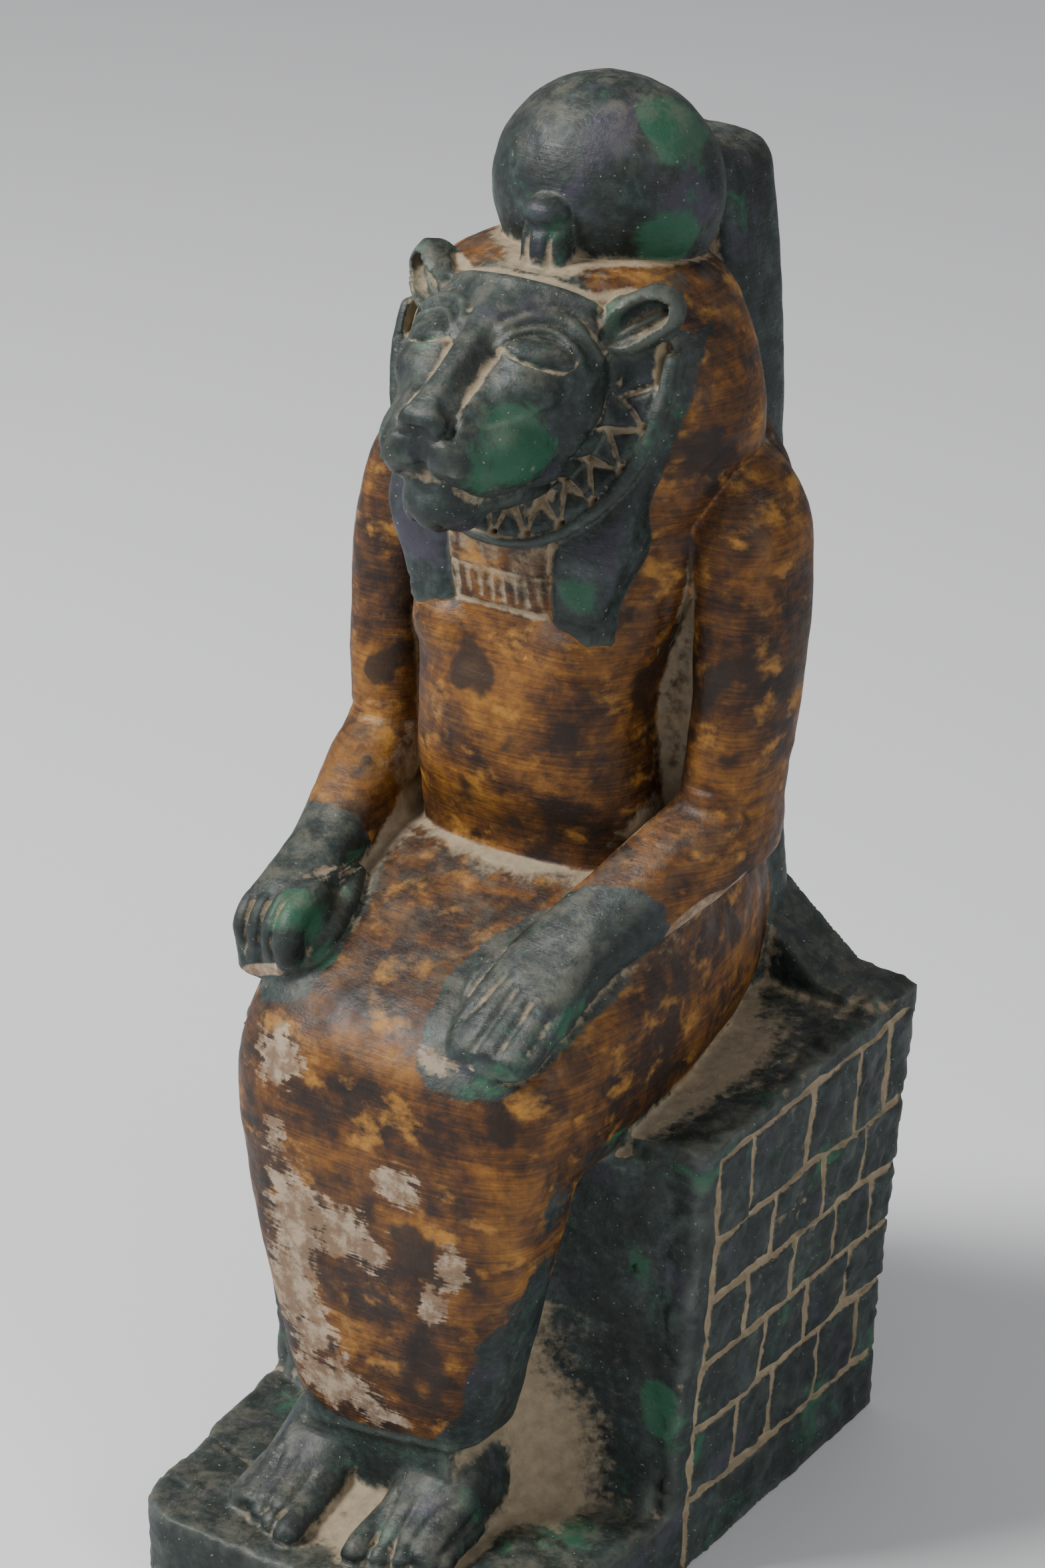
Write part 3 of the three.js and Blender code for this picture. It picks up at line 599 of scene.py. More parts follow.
PLINTH_STROKES = (
    stroke([(-48, -41.4, 17), (-38, -44, 17), (-30, -46, 17)], -1.0, 0.7)
    + stroke([(-45, -58.4, 17), (-38, -60, 17), (-32, -61.6, 17)], -0.8, 0.7)
)
TOE_STROKES = [
    s for side, middle, tip in ((LEFT, 14, -62), (RIGHT, 16.4, -64.6)) for i in range(1, 5)
    for s in stroke([(middle - 8.6 + 4.0 * i, tip + 1.5 * i + 13, 24), (middle - 8.6 + 4.0 * i, tip + 1.5 * i + 7, 22),
                     (middle - 8.6 + 4.0 * i, tip + 1.5 * i + 2, 20)], -1.0, 0.6, (side,))
]
HAND_STROKES = (
    stroke([(20.3, -28.4, 139.1), (19.3, -31.3, 137.1), (18.4, -34.4, 134.9), (16.8, -37.5, 132.2)], -1.5, 0.8)
    + stroke([(24.1, -30.5, 137.9), (23.5, -34.7, 135.1), (23, -38.7, 132), (21.9, -41.5, 129.2)], -1.5, 0.8)
    + stroke([(28.6, -32.1, 136.7), (28.4, -35.5, 134.4), (28.1, -38.6, 132), (27.4, -41.2, 129.7)], -1.6, 0.9)
    + stroke([(34, -31.7, 135.5), (33.8, -34.4, 133.8), (33.6, -37.2, 132), (33.2, -39.6, 130.1)], -1.5, 0.9)
    + stroke([(17.6, -22.4, 140), (15.6, -27.6, 137), (14.8, -32, 134)], -0.8, 0.7)
    + stroke([(-28.4, -34, 142), (-28.3, -38, 138), (-28.3, -37.5, 131)], -1.2, 0.5)
    + stroke([(-32.6, -33, 141), (-32.5, -37, 137), (-32.5, -36.6, 130)], -1.2, 0.5)
    + stroke([(-36.8, -32, 140), (-36.7, -36, 136), (-36.7, -35.6, 130)], -1.2, 0.5)
)


# Feet with five toes, and the stone left round them
def foot(side, middle, tip):
    yield forward([(-16, middle, 24, 8, 13), (-30, middle, 25, 9, 13), (-38, middle, 24.4, 9.4, 11.4),
                   (-46, middle, 21.6, 10, 8), (-53, middle, 19.4, 10.2, 5.4), (tip + 4, middle, 17.6, 9.4, 4)],
                  2.3, side, cap=2), "add", 1.5
    for i, radius in enumerate((3.2, 2.6, 2.4, 2.3, 2.2)):
        x = middle - 7.6 + (1.0 if i else 0) + 4.0 * i
        end = tip + 1.5 * i
        yield rod([(x, end + 13, 20.6, radius), (x, end + 6, 19.4, radius), (x, end + 2, 18.2, radius),
                   (x, end + 1.2, 17, radius * 0.9)], side), "add", 0.35


def feet():
    yield from foot(LEFT, 14, -62)
    yield from foot(RIGHT, 16.4, -64.6)
    yield dusty(forward([(-20, -1, 17, 10, 8), (-40, -1, 17, 8.6, 5.4), (-58, -1, 15, 7, 3.4)], 2.3), 0.45), "add", 2.5


# Stone left between the shins and the throne, hollowed like a fillet
def leg_web():
    def distance(p):
        ahead = np.maximum(THRONE["front"] - p[:, 1], 0)
        over = np.maximum(p[:, 2] - PLINTH["height"], 0)
        wide = 17.5 + 24 * np.exp(-ahead / 4.5) + 16 * np.exp(-over / 9 - ahead / 13) + 0.0018 * (p[:, 2] - 46) ** 2
        side = 0.6 * (np.abs(p[:, 0]) - np.minimum(wide, 46))
        return np.maximum(np.maximum(side, ahead - 32), np.maximum(p[:, 2] - 98, 12 - p[:, 2]))

    return dusty(Form(distance, (-46, -44, 12), (46, -10, 98)), 0.12)


TORSO = list(torso())


# On the dress, green runs round the hands and down the outer side of the left leg
def dress_tone(p):
    hand = np.minimum(FLAT_HAND.distance(p), 20)
    fist = np.minimum(FIST_PAD.distance(p), 20)
    reach = np.interp(p[:, 0], [14, 24], [6.5, 3.4])
    halo = np.maximum(np.minimum(reach - hand, WRIST_LEFT(p) + 1), 3.6 - fist)
    edge = np.interp(p[:, 2], [32, 42, 53, 65, 71, 82, 95, 105, 112],
                     [16, 18.5, 21.5, 25, 29.5, 33.5, 36, 38.6, 60])
    leg = np.where(p[:, 1] < 4, (p[:, 0] - edge) * 0.8, -3)
    hem = 0.8 * (37 + 0.17 * p[:, 0] - p[:, 2])
    return np.clip(np.maximum.reduce([halo, leg, hem]) + 1.6 * (noise(p, 4.4, 6.0) - 0.5), -3, 3)


DRESS_FORM = dress()
DRESS_FORM.tone = dress_tone
FORMS = (
    [(plinth(), "add", 1.0), (throne(), "add", 0.7), (leg_web(), "add", 2.5), (seat_back(), "add", 1.5),
     (rising(PILLAR, 4.5, cap=2), "add", 1.2), (DRESS_FORM, "add", 2.0)]
    + list(feet()) + TORSO + list(arms()) + list(clothes()) + list(hands())
    + list(head()) + [(mane("bed"), "add", 0.8), (mane("rim"), "add", 0.5)] + list(crown())
)
# Masonry: grooves that wander a little, and bricks that are not quite level
def masonry(p):
    x, y, z = np.abs(p[:, 0]), p[:, 1], p[:, 2]
    wander = 1.5 * (noise(p, 11.0, 4.0) - 0.5) + 0.7 * (noise(p, 3.5, 8.0) - 0.5)
    y = y + wander
    z = z - 0.8 * wander + 0.6 * (noise(p, 6.0, 2.0) - 0.5)
    t = (y - THRONE["front"]) / 84
    gap = np.full(len(p), 9.0)
    lines = [a + (b - a) * t for a, b in COURSES]
    for line in lines:
        gap = np.minimum(gap, np.abs(z - line))
    for row, ups in enumerate(UPRIGHTS):
        inside = (z < lines[row]) & (z > lines[row + 1])
        for up in ups:
            gap = np.where(inside, np.minimum(gap, np.abs(y - up)), gap)
    border = -6.4 + 2.0 * np.cos((z - 57) / 34)
    gap = np.where(y < border, 9.0, gap)
    gap = np.where(z < lines[0] + 1, np.minimum(gap, np.abs(y - border)), gap)
    wide = 0.42 + 0.8 * noise(p, 5.0, 6.0)
    side = (x > 49) * np.clip((y + 11.5) / 2, 0, 1) * np.clip((71.8 - y) / 3, 0.25, 1)
    rough = (x > 49) * (gap < 9) * np.clip((72 - y) / 8, 0.15, 1) * (1.3 * (noise(p, 8.0, 3.3) - 0.5) + 0.9 * (noise(p, 3.0, 5.1) - 0.5))
    deep = 0.8 + 0.7 * noise(p, 9.0, 7.1)
    filled = np.clip(0.25 + 1.3 * noise(p, 6.0, 1.1), 0.3, 1)
    return rough - side * deep * np.exp(-((gap / wide) ** 4)), side * filled * np.exp(-((gap / (wide + 0.2)) ** 2))


# The whole carving: below 0 inside the stone, above 0 outside
def bare(p):
    f = np.full(len(p), 12.0)
    for form, kind, k in FORMS:
        here = form.near(p, 6.0)
        if len(here):
            d = form.distance(p[here])
            f[here] = smooth_min(f[here], d, k) if kind == "add" else smooth_max(f[here], -d, k)
    return f


# Height of the carving and of the worn surface over the bare forms
def relief(p):
    raised = stroke_value(p, STROKES) + masonry(p)[0]
    neck = np.flatnonzero((p[:, 2] > 210) & (p[:, 2] < 258) & (p[:, 1] < 18))
    if len(neck):
        raised[neck] += locks(p[neck])
    return raised


def field(p):
    f = bare(p)
    close = np.flatnonzero(np.abs(f) < 4.0)
    if not len(close):
        return np.maximum(f, -p[:, 2])
    q = p[close]
    seat = (q[:, 2] < 108) & ((q[:, 1] > -20) | (q[:, 2] < 20))
    wear = 0.5 * (noise(q, 14.0, 1.3) - 0.5) + 0.3 * (noise(q, 4.2, 2.6) - 0.5)
    wear += (0.14 + 0.3 * seat) * (noise(q, 1.9, 7.7) - 0.5)
    f[close] -= relief(q) + wear
    return np.maximum(f, -p[:, 2])


def slope(function, p, reach):
    f = function(p)
    g = np.empty_like(p)
    for axis in range(3):
        q = p.copy()
        q[:, axis] += reach
        g[:, axis] = (function(q) - f) / reach
    return f, g


def toward_surface(function, p, most):
    f, g = slope(function, p, 0.12)
    move = g * (f / np.maximum((g**2).sum(axis=1), 0.25))[:, None]
    far = np.linalg.norm(move, axis=1)
    return p - move * np.minimum(1, most / np.maximum(far, 1e-9))[:, None]


# Lay each stroke on the surface of the bare forms
def laid(strokes):
    points = np.concatenate([s[0][:, :3] for s in strokes])
    for _ in range(5):
        points = toward_surface(bare, points, 1.5)
    out, at = [], 0
    for chain, deep, wide, _, _ in strokes:
        count = len(chain)
        chain = np.column_stack([points[at:at + count], np.zeros(count)])
        at += count
        reach = 3 * wide
        out.append((chain, deep, wide, chain[:, :3].min(axis=0) - reach, chain[:, :3].max(axis=0) + reach))
    return out


LINES = laid(FACE_LINES)
STROKES = LINES + laid(HEAD_STROKES + BODY_STROKES + HAND_STROKES + TOE_STROKES + PLINTH_STROKES)
# Pale dust in the tear line, and painted highlight along the lower lid and the rim over the eye
PALE_DUST_AND_HIGHLIGHT_LINES = [(chain, 0.75, 0.6, lo, hi) for chain, _, _, lo, hi in LINES]


def chunks(count, size=250000):
    return [slice(i, min(i + size, count)) for i in range(0, count, size)]


def field_of(p):
    order = np.argsort(p[:, 2], kind="stable")
    out = np.empty(len(p))
    q = p[order]
    for part in chunks(len(q)):
        out[order[part]] = field(q[part])
    return out


# Surface nets: one vertex in each cell that the surface crosses
def surface():
    start = np.array([-57.1, -71.5, 0.0]) - 2.1 * STEP
    size = np.ceil((np.array([57.1, 71.5, 299.8]) + 2.1 * STEP - start) / STEP).astype(int) + 1
    block = 4
    coarse_size = size // block + 2
    grid = np.stack(np.meshgrid(*[np.arange(n) for n in coarse_size], indexing="ij"), -1).reshape(-1, 3)
    centre = start + (grid + 0.5) * block * STEP
    rough = field_of(centre)
    near = np.abs(rough) < block * STEP * 0.87 + 1.6
    values = np.repeat(np.repeat(np.repeat(rough.reshape(coarse_size), block, 0), block, 1), block, 2)
    values = values[:size[0], :size[1], :size[2]].astype(np.float32).copy()
    corner = grid[near] * block
    local = np.stack(np.meshgrid(*[np.arange(block)] * 3, indexing="ij"), -1).reshape(-1, 3)
    points = (corner[:, None, :] + local[None]).reshape(-1, 3)
    points = points[(points < size).all(axis=1)]
    values[tuple(points.T)] = field_of(start + points * STEP)
    inside = values < 0
    strides = np.array([size[1] * size[2], size[2], 1])
    cells, spots, quads = [], [], []
    for axis in range(3):
        lower = [slice(1, -1)] * 3
        upper = list(lower)
        lower[axis] = slice(0, -1)
        upper[axis] = slice(1, None)
        a, b = inside[tuple(lower)], inside[tuple(upper)]
        at = np.stack(np.nonzero(a != b), -1) + np.array([0 if i == axis else 1 for i in range(3)])
        next_at = at.copy()
        next_at[:, axis] += 1
        va, vb = values[tuple(at.T)], values[tuple(next_at.T)]
        spot = at.astype(float)
        spot[:, axis] += va / (va - vb)
        u, v = (axis + 1) % 3, (axis + 2) % 3
        base = at @ strides
        ring = [base - strides[u] - strides[v], base - strides[v], base, base - strides[u]]
        quad = np.stack(ring, -1)
        out = inside[tuple(at.T)]
        quad[~out] = quad[~out][:, ::-1]
        quads.append(quad)
        for r in ring:
            cells.append(r)
            spots.append(spot)
    cells, spots, quads = np.concatenate(cells), np.concatenate(spots), np.concatenate(quads)
    used, number = np.unique(cells, return_inverse=True)
    count = np.bincount(number)
    verts = np.stack([np.bincount(number, spots[:, i]) / count for i in range(3)], -1)
    faces = np.searchsorted(used, quads)
    return start + verts * STEP, faces


def new_mesh(name, verts, faces):
    mesh = bpy.data.meshes.new(name)
    sides = faces.shape[1]
    mesh.vertices.add(len(verts))
    mesh.vertices.foreach_set("co", verts.astype(np.float32).ravel())
    mesh.loops.add(faces.size)
    mesh.loops.foreach_set("vertex_index", faces.astype(np.int32).ravel())
    mesh.polygons.add(len(faces))
    mesh.polygons.foreach_set("loop_start", np.arange(0, faces.size, sides, dtype=np.int32))
    mesh.update(calc_edges=True)
    mesh.validate()
    return mesh


def points_of(mesh):
    co = np.empty(len(mesh.vertices) * 3, np.float32)
    mesh.vertices.foreach_get("co", co)
    return co.reshape(-1, 3).astype(float)


# What each point carries for the finish: tone, dust in hollows (with painted highlight and painted shade round the eyes
# and nose), worn edges and patches
def traits_of(p):
    total = np.full(len(p), 1e-6)
    tone = np.zeros(len(p))
    dust = np.zeros(len(p))
    for form, kind, _ in FORMS:
        if kind == "cut":
            continue
        here = form.near(p, 4.0)
        if len(here):
            q = p[here]
            weight = np.exp(-np.clip(form.distance(q), -1, 20) / 0.35)
            tone[here] += weight * (form.tone(q) if callable(form.tone) else form.tone)
            dust[here] += weight * form.dust
            total[here] += weight
    return tone / total, dust / total


# Bare patches: centre and radii of each
PATCHES = [
    ((-17, -49, 84), (8, 6, 13)), ((-3, -50, 84), (9, 6, 7)), ((-17, -48, 64), (8, 6, 18)), ((-9, -47, 46), (9, 6, 8)),
    ((0, -46, 42), (7, 6, 5)), ((-22, -45, 116), (7, 6, 7)), ((16.3, -40.4, 124.2), (7, 5, 3)),
    ((9.9, -49.3, 98.3), (6, 4, 5)), ((21.5, -47.8, 83.6), (3, 4, 5)), ((17, -48.3, 73.2), (3, 4, 5)),
    ((3.5, -49.7, 81.4), (5, 4, 6)), ((-21, -47, 100), (4, 4, 6)), ((-30, -20, 143), (5, 9, 4)),
]
CHIPS = [[(-36, -38, 127, 1.6), (-31.2, -38, 129, 1.4), (-25.4, -37, 130.6, 1.2)],
         [(37, -6, 141.5, 1.0), (42.6, -1, 145.5, 1.5), (45.2, 4.4, 148.2, 1.7), (46.4, 9.8, 149, 1.3),
          (47.6, 14, 151.4, 0.9)]]


def worn_of(p):
    found = [1 - np.linalg.norm((p - np.array(c)) / np.array(r), axis=1) for c, r in PATCHES]
    return np.maximum.reduce(found)


def chips_of(p):
    return np.maximum.reduce([1 - 0.5 * np.maximum(chain_distance(p, path(chip)) + 1, 0) for chip in CHIPS])


# Dust in hollows, grooves and joints, with painted highlight on the eye lines and painted shade where dust is held back
def dust_and_painted_light_of(p, n):
    deep = np.zeros(len(p))
    for reach, share in ((0.8, 0.3), (2.0, 0.4), (5.0, 0.4), (11.0, 0.3)):
        deep += share * np.clip(1 - field_of(p + n * reach) / reach, 0, 1.3)
    deep *= 0.75 + 0.35 * n[:, 2]
    cut = np.clip(-relief(p), 0, 1.2)
    # The eye lines add pale dust in the tear line and painted highlight on the lower lid and the rim over the eye
    deep += 0.6 * cut + 0.6 * masonry(p)[1] + settled(p, n) + stroke_value(p, PALE_DUST_AND_HIGHLIGHT_LINES)
    # Upper lids, nostrils and lip cleft are kept free of dust so they stay dark: painted shade there; the cobra's head
    # is kept free of dust too
    aside = p * [1, 1, 1]
    aside[:, 0] = np.abs(aside[:, 0])
    for centre, size, less in (((4.8, -26.6, 246), 2.6, 1.6), ((0, -28.4, 240.5), 3.2, 0.9), ((0, 10, 278.6), 3.4, 0.8),
                               ((12.2, -4.6, 258.8), 3.4, 1.1)):
        deep -= less * np.exp(-(np.linalg.norm(aside - centre, axis=1) / size) ** 2)
    return deep


# Dust that lies on the lap by the belly and the arms, on the wig behind the brow, and on the plinth
def settled(p, n):
    x, y, z = np.abs(p[:, 0]), p[:, 1], p[:, 2]
    up = np.clip(n[:, 2], 0, 1)
    lap = (z > 128) & (z < 160) & (y > -36) & (y < 20)
    inner = np.exp(-((np.minimum(np.abs(FLAT_HAND.distance(p)), np.abs(FIST_ARM.distance(p))) / 5) ** 2))
    total = 0.25 * up * lap * inner
    total += 0.5 * up * ((z > 262) & (z < 271) & (y < 34)) * np.exp(-((np.maximum(y - 9, 0) / 9) ** 2)) * (y > 3.4 + 0.014 * x**2)
    total += 0.3 * ((z > 16) & (z < 62) & (y < -11) & (y > -30) & (x < 44))
    return total


def edge_of(p, n):
    return np.clip(1 + field_of(p - n * 1.6) / 1.6, 0, 1)


def give(mesh, name, values):
    mesh.attributes.new(name, "FLOAT", "POINT").data.foreach_set("value", values.astype(np.float32))


# Node helpers
def put(tree, kind, **settings):
    node = tree.nodes.new(kind)
    for key, value in settings.items():
        setattr(node, key, value)
    return node


def feed(tree, socket, value):
    if isinstance(value, bpy.types.NodeSocket):
        tree.links.new(value, socket)
    elif value is not None:
        socket.default_value = value


def sums(tree, operation, a, b=None, c=None, clamp=False):
    node = put(tree, "ShaderNodeMath", operation=operation, use_clamp=clamp)
    for socket, value in zip(node.inputs, (a, b, c)):
        feed(tree, socket, value)
    return node.outputs[0]


def band(tree, value, low, high, to_low=0.0, to_high=1.0):
    node = put(tree, "ShaderNodeMapRange", interpolation_type="SMOOTHSTEP")
    for socket, v in zip(node.inputs, (value, low, high, to_low, to_high)):
        feed(tree, socket, v)
    return node.outputs[0]


def mix(tree, share, a, b):
    node = put(tree, "ShaderNodeMix", data_type="RGBA", clamp_factor=True)
    feed(tree, node.inputs["Factor"], share)
    feed(tree, node.inputs[6], a)
    feed(tree, node.inputs[7], b)
    return node.outputs[2]


def colour(r, g, b):
    return (r, g, b, 1.0)


def ramp(tree, value, stops):
    node = put(tree, "ShaderNodeValToRGB")
    points = node.color_ramp.elements
    while len(points) < len(stops):
        points.new(0.5)
    for point, (at, shade) in zip(points, stops):
        point.position = at
        point.color = shade
    feed(tree, node.inputs[0], value)
    return node.outputs[0]


def stone_material():
    material = bpy.data.materials.new("mottled_stone")
    material.use_nodes = True
    tree = material.node_tree
    shader = tree.nodes["Principled BSDF"]
    coordinates = put(tree, "ShaderNodeTexCoord")
    place = coordinates.outputs["Object"]

    # Noise of a given grain in millimetres, stretched along the axes
    def speckle(grain, detail=4, rough=0.55, stretch=(1, 1, 1), warp=0.0, shift=0.0):
        mapping = put(tree, "ShaderNodeMapping")
        feed(tree, mapping.inputs[0], place)
        mapping.inputs["Location"].default_value = (shift, shift * 0.7, shift * 1.3)
        mapping.inputs["Scale"].default_value = [1000 / (grain * s) for s in stretch]
        node = put(tree, "ShaderNodeTexNoise")
        feed(tree, node.inputs["Vector"], mapping.outputs[0])
        node.inputs["Scale"].default_value = 1.0
        node.inputs["Detail"].default_value = detail
        node.inputs["Roughness"].default_value = rough
        node.inputs["Distortion"].default_value = warp
        return node.outputs[0]

    def read(name):
        return put(tree, "ShaderNodeAttribute", attribute_name=name).outputs["Fac"]

    # Soft region round a point, 1 in the middle and 0 at its edge
    def region(centre, radii):
        apart = put(tree, "ShaderNodeVectorMath", operation="SUBTRACT")
        feed(tree, apart.inputs[0], place)
        apart.inputs[1].default_value = [v / 1000 for v in centre]
        shares = put(tree, "ShaderNodeVectorMath", operation="MULTIPLY")
        feed(tree, shares.inputs[0], apart.outputs[0])
        shares.inputs[1].default_value = [1000 / r for r in radii]
        length = put(tree, "ShaderNodeVectorMath", operation="LENGTH")
        feed(tree, length.inputs[0], shares.outputs[0])
        return sums(tree, "SUBTRACT", 1.0, length.outputs["Value"])

    tone, dust, edge, worn = read("tone"), read("dust"), read("edge"), read("worn")

    # Amber part: dark brown to gold blotches, with fine level scratches
    blotch = speckle(9, 6, 0.62, (1.3, 1.3, 1), 0.6)
    fine_blotch = speckle(2.6, 5, 0.6, shift=3)
    streak = speckle(2.2, 3, 0.6, (5, 5, 0.28), 0.3, 8)
    broad = speckle(24, 4, 0.55, (1.1, 1.1, 1), 0.8, 5)
    heat = sums(tree, "MULTIPLY_ADD", fine_blotch, 0.22, sums(tree, "MULTIPLY", blotch, 0.42))
    heat = sums(tree, "MULTIPLY_ADD", broad, 0.5, sums(tree, "SUBTRACT", heat, 0.09))
    heat = sums(tree, "MULTIPLY_ADD", streak, 0.22, heat)
    heat = sums(tree, "MULTIPLY_ADD", edge, 0.55, heat)
    amber = ramp(tree, heat, [(0.44, colour(0.005, 0.003, 0.002)), (0.53, colour(0.024, 0.008, 0.002)),
                              (0.61, colour(0.078, 0.027, 0.003)), (0.69, colour(0.17, 0.064, 0.006)),
                              (0.80, colour(0.30, 0.135, 0.016)), (0.94, colour(0.50, 0.30, 0.09))])
    golden = band(tree, speckle(8, 5, 0.6, (1.2, 1.2, 0.8), 0.1, 15), 0.54, 0.72, 0, 0.72)
    amber = mix(tree, golden, amber, colour(0.42, 0.195, 0.030))
    spots = band(tree, speckle(12, 3, 0.5, warp=0.2, shift=25), 0.57, 0.66, 0, 0.88)
    amber = mix(tree, spots, amber, colour(0.016, 0.007, 0.003))

    # Green part: almost black with teal, violet and emerald clouds
    cloud = speckle(11, 5, 0.6, warp=0.5, shift=12)
    grain = speckle(1.8, 4, 0.6, shift=21)
    depth = sums(tree, "MULTIPLY_ADD", grain, 0.4, sums(tree, "MULTIPLY", cloud, 0.6))
    green = ramp(tree, depth, [(0.36, colour(0.003, 0.006, 0.005)), (0.5, colour(0.011, 0.019, 0.017)),
                               (0.62, colour(0.030, 0.047, 0.042)), (0.8, colour(0.125, 0.16, 0.135))])
    # A cloud is stronger in the places where the photo shows it
    def cloudy(noise_value, places, edges, most):
        for centre, radius in places:
            near = sums(tree, "MAXIMUM", region(centre, (radius, radius, radius)), 0.0)
            noise_value = sums(tree, "MULTIPLY_ADD", near, 0.4, noise_value)
        return band(tree, noise_value, *edges, 0, most)

    violet = cloudy(speckle(14, 5, 0.6, warp=0.4, shift=31), [((24, 30, 281), 10), ((-16, 0, 212), 10)],
                    (0.54, 0.70), 0.55)
    green = mix(tree, violet, green, colour(0.048, 0.040, 0.070))
    emerald = cloudy(speckle(16, 6, 0.68, warp=0.5, shift=44),
                     [((15, -17, 241), 12), ((16, 32, 293), 10), ((20, 25, 272), 9), ((48, -13, 42), 9),
                      ((34, -29, 17), 9), ((-27, -33, 141), 7), ((40, -18, 108), 8), ((18, -4, 208), 6)],
                     (0.57, 0.70), 0.75)
    green = mix(tree, emerald, green, colour(0.016, 0.105, 0.052))
    fleck = band(tree, speckle(0.9, 2, 0.5, shift=52), 0.70, 0.76, 0, 0.55)
    green = mix(tree, fleck, green, colour(0.34, 0.38, 0.31))
    green = mix(tree, sums(tree, "MULTIPLY", edge, 0.6), green, colour(0.13, 0.15, 0.12))

    border = sums(tree, "MULTIPLY_ADD", sums(tree, "SUBTRACT", fine_blotch, 0.5), 3.0, tone)
    body = mix(tree, band(tree, border, -0.5, 0.5), amber, green)

    # Worn stone shows grey and beige, with pinkish brown spots
    ragged = sums(tree, "MULTIPLY_ADD", sums(tree, "SUBTRACT", blotch, 0.5), 2.4, worn)
    ragged = sums(tree, "MULTIPLY_ADD", sums(tree, "SUBTRACT", fine_blotch, 0.5), 1.5, ragged)
    ragged = sums(tree, "MULTIPLY_ADD", sums(tree, "SUBTRACT", streak, 0.5), 1.2, ragged)
    bare = sums(tree, "MAXIMUM", band(tree, ragged, 0.0, 0.3), band(tree, read("chips"), 0.4, 0.6))
    pale = mix(tree, band(tree, speckle(4, 5, 0.65, shift=61), 0.42, 0.62), colour(0.21, 0.14, 0.09),
               colour(0.40, 0.32, 0.23))
    body = mix(tree, sums(tree, "MULTIPLY", bare, 0.85), body, pale)

    # A thin film dulls what faces up
    facing = put(tree, "ShaderNodeSeparateXYZ")
    feed(tree, facing.inputs[0], coordinates.outputs["Normal"])
    up = band(tree, facing.outputs["Z"], 0.1, 1.0)
    film = sums(tree, "MULTIPLY", up, band(tree, speckle(6, 6, 0.7, warp=0.3, shift=101), 0.42, 0.66, 0.06, 0.55))
    body = mix(tree, sums(tree, "MULTIPLY", film, band(tree, border, -0.5, 0.5, 0.45, 1)), body,
               colour(0.15, 0.14, 0.105))

    # Dust lies in the hollows; the same mask brings painted highlight along the eye lines and painted shade where dust
    # is held back
    dust_and_painted_light_level = sums(tree, "MULTIPLY_ADD", sums(tree, "SUBTRACT", speckle(3.2, 5, 0.65, shift=71), 0.5), 0.9, dust)
    dust_and_painted_light_level = sums(tree, "MULTIPLY_ADD", sums(tree, "SUBTRACT", grain, 0.5), 0.5, dust_and_painted_light_level)
    for centre, radii, amount in (((0, 6, 151), (38, 27, 22), 1.0), ((43, 22, 104), (13, 52, 9), 0.9),
                                  ((-43, 22, 104), (13, 52, 9), 0.9), ((0, -44, 17), (9, 26, 7), 0.9),
                                  ((24, -20, 24), (17, 22, 26), 0.8), ((-24, -20, 24), (17, 22, 26), 0.8)):
        near = sums(tree, "MAXIMUM", region(centre, radii), 0.0)
        share = sums(tree, "MULTIPLY", near, up) if centre[2] > 100 else near
        dust_and_painted_light_level = sums(tree, "MULTIPLY_ADD", share, amount, dust_and_painted_light_level)
    # Mask of dust, which also holds the painted highlight and painted shade round the eyes
    dusty = band(tree, dust_and_painted_light_level, 0.48, 0.92)
    dust_and_highlight_colour = mix(tree, fine_blotch, colour(0.16, 0.12, 0.075), colour(0.48, 0.39, 0.26))
    body = mix(tree, sums(tree, "MULTIPLY", dusty, 0.9), body, dust_and_highlight_colour)

    feed(tree, shader.inputs["Base Color"], body)
    matt = sums(tree, "MAXIMUM", dusty, sums(tree, "MULTIPLY", bare, 0.75))
    gloss = band(tree, speckle(5, 4, 0.6, shift=81), 0.3, 0.7, 0.4, 0.56)
    gloss = sums(tree, "MULTIPLY_ADD", streak, 0.12, gloss)
    feed(tree, shader.inputs["Roughness"], sums(tree, "MULTIPLY_ADD", matt, 0.5, gloss, clamp=True))
    shader.inputs["Specular IOR Level"].default_value = 0.38

    # Fine grain of the surface
    pits = sums(tree, "MULTIPLY_ADD", speckle(0.8, 3, 0.6, shift=91), 0.6, sums(tree, "MULTIPLY", grain, 0.9))
    pits = sums(tree, "MULTIPLY_ADD", streak, 0.5, pits)
    bump = put(tree, "ShaderNodeBump")
    bump.inputs["Strength"].default_value = 0.35
    bump.inputs["Distance"].default_value = 0.0005
    feed(tree, bump.inputs["Height"], pits)
    feed(tree, shader.inputs["Normal"], bump.outputs[0])
    return material


def plain(name, shade, roughness):
    material = bpy.data.materials.new(name)
    material.use_nodes = True
    shader = material.node_tree.nodes["Principled BSDF"]
    shader.inputs["Base Color"].default_value = shade
    shader.inputs["Roughness"].default_value = roughness
    return material


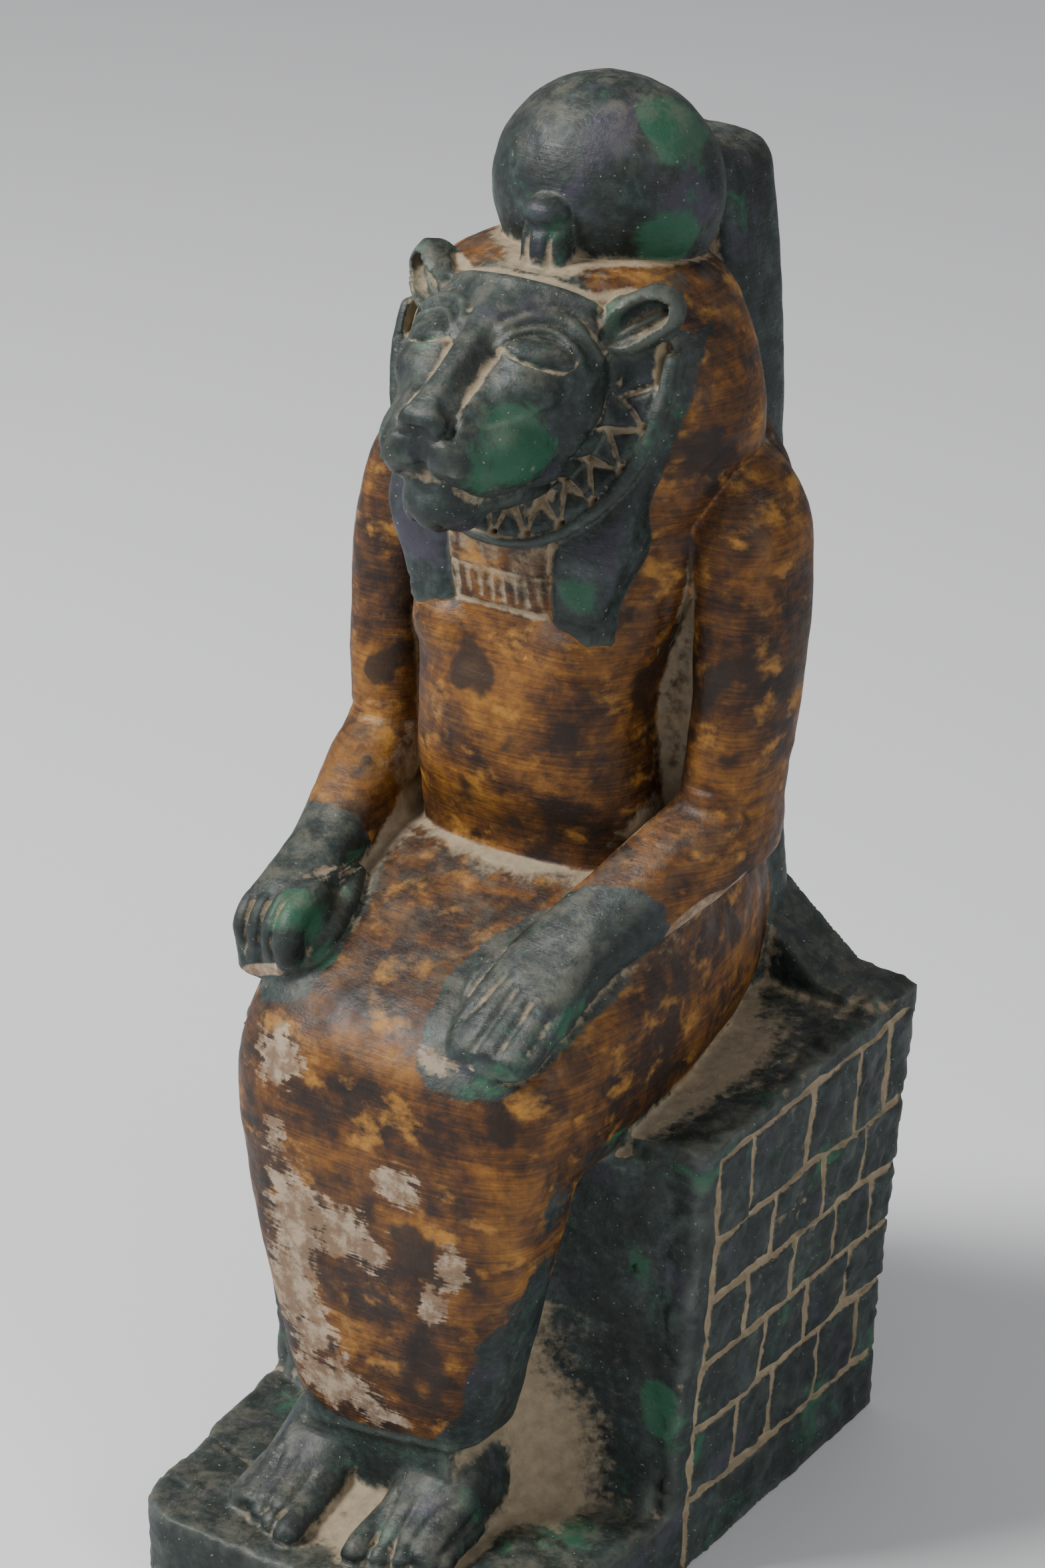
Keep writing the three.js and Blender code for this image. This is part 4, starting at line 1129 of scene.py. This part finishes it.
# Build the carving
def statue():
    verts, quads = surface()
    verts = toward_surface(field_of, verts, 0.5 * STEP)
    verts[:, 2] = np.maximum(verts[:, 2], 0)
    dense = bpy.data.objects.new("dense", new_mesh("dense", verts * MM, quads))
    bpy.context.scene.collection.objects.link(dense)
    thin = dense.modifiers.new("thin", "DECIMATE")
    thin.ratio = min(1.0, FACES / (2 * len(quads)))
    thin.use_collapse_triangulate = True
    bpy.context.view_layer.update()
    mesh = bpy.data.meshes.new_from_object(dense.evaluated_get(bpy.context.evaluated_depsgraph_get()))
    bpy.data.objects.remove(dense)
    p = points_of(mesh)
    lo, hi = np.array(low) + 2e-6, np.array(high) - 2e-6
    p = np.clip(p, [lo[0], lo[1], low[2]], hi)
    mesh.vertices.foreach_set("co", p.astype(np.float32).ravel())
    mesh.polygons.foreach_set("use_smooth", np.ones(len(mesh.polygons), bool))
    mesh.update()
    normals = np.empty(len(mesh.vertices) * 3, np.float32)
    mesh.vertex_normals.foreach_get("vector", normals)
    n = normals.reshape(-1, 3).astype(float)
    p = p / MM
    tone, dust = traits_of(p)
    give(mesh, "tone", tone)
    # The dust attribute also carries painted highlight on the eye lines and painted shade on the upper lids, nostrils
    # and lip cleft
    give(mesh, "dust", dust + dust_and_painted_light_of(p, n))
    give(mesh, "edge", edge_of(p, n))
    give(mesh, "worn", worn_of(p))
    give(mesh, "chips", chips_of(p))
    mesh.materials.append(stone_material())
    mesh.name = "carved_statue"
    made = bpy.data.objects.new("carved_statue", mesh)
    bpy.context.scene.collection.objects.link(made)
    return made


def floor():
    mesh = new_mesh("floor", np.array([(-4, -4, 0), (4, -4, 0), (4, 4, 0), (-4, 4, 0)], float), np.array([[0, 1, 2, 3]]))
    mesh.materials.append(plain("pale_floor", colour(0.84, 0.84, 0.84), 0.6))
    made = bpy.data.objects.new("floor", mesh)
    bpy.context.scene.collection.objects.link(made)
    return made


def lamp(name, place, aim, size, power, tint=(1, 1, 1)):
    light = bpy.data.lights.new(name, "AREA")
    light.shape = "RECTANGLE"
    light.size, light.size_y = size
    light.energy = power
    light.color = tint
    made = bpy.data.objects.new(name, light)
    made.location = place
    made.rotation_euler = (Vector(aim) - Vector(place)).to_track_quat("-Z", "Y").to_euler()
    bpy.context.scene.collection.objects.link(made)


def view_from(azimuth, elevation, roll, distance, target, lens):
    a, e, r = (math.radians(v) for v in (azimuth, elevation, roll))
    back = Vector((math.sin(a) * math.cos(e), -math.cos(a) * math.cos(e), math.sin(e)))
    right = Vector((math.cos(a), math.sin(a), 0))
    up = back.cross(right)
    across = right * math.cos(r) + up * math.sin(r)
    over = up * math.cos(r) - right * math.sin(r)
    camera = bpy.data.cameras.new("camera")
    camera.sensor_fit = "VERTICAL"
    camera.sensor_height = 36
    camera.lens = lens
    made = bpy.data.objects.new("camera", camera)
    axes = Matrix((across, over, back)).transposed().to_4x4()
    made.matrix_world = Matrix.Translation(Vector(target) + back * distance) @ axes
    bpy.context.scene.collection.objects.link(made)
    bpy.context.scene.camera = made


piece = statue()
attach(piece, "root")
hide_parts("statue")
floor()

view_from(34, 24, 0.4, 0.8, (0, 0.007, 0.161), 91.84)
lamp("key", (-0.8, -0.8, 1.3), (0, 0, 0.17), (0.5, 0.5), 38)
lamp("fill", (1.3, -0.3, 0.8), (0, 0, 0.15), (0.8, 0.8), 6)
world = bpy.data.worlds.new("studio")
world.use_nodes = True
world.node_tree.nodes["Background"].inputs[0].default_value = colour(0.93, 0.95, 1.0)
world.node_tree.nodes["Background"].inputs[1].default_value = 0.32
bpy.context.scene.world = world
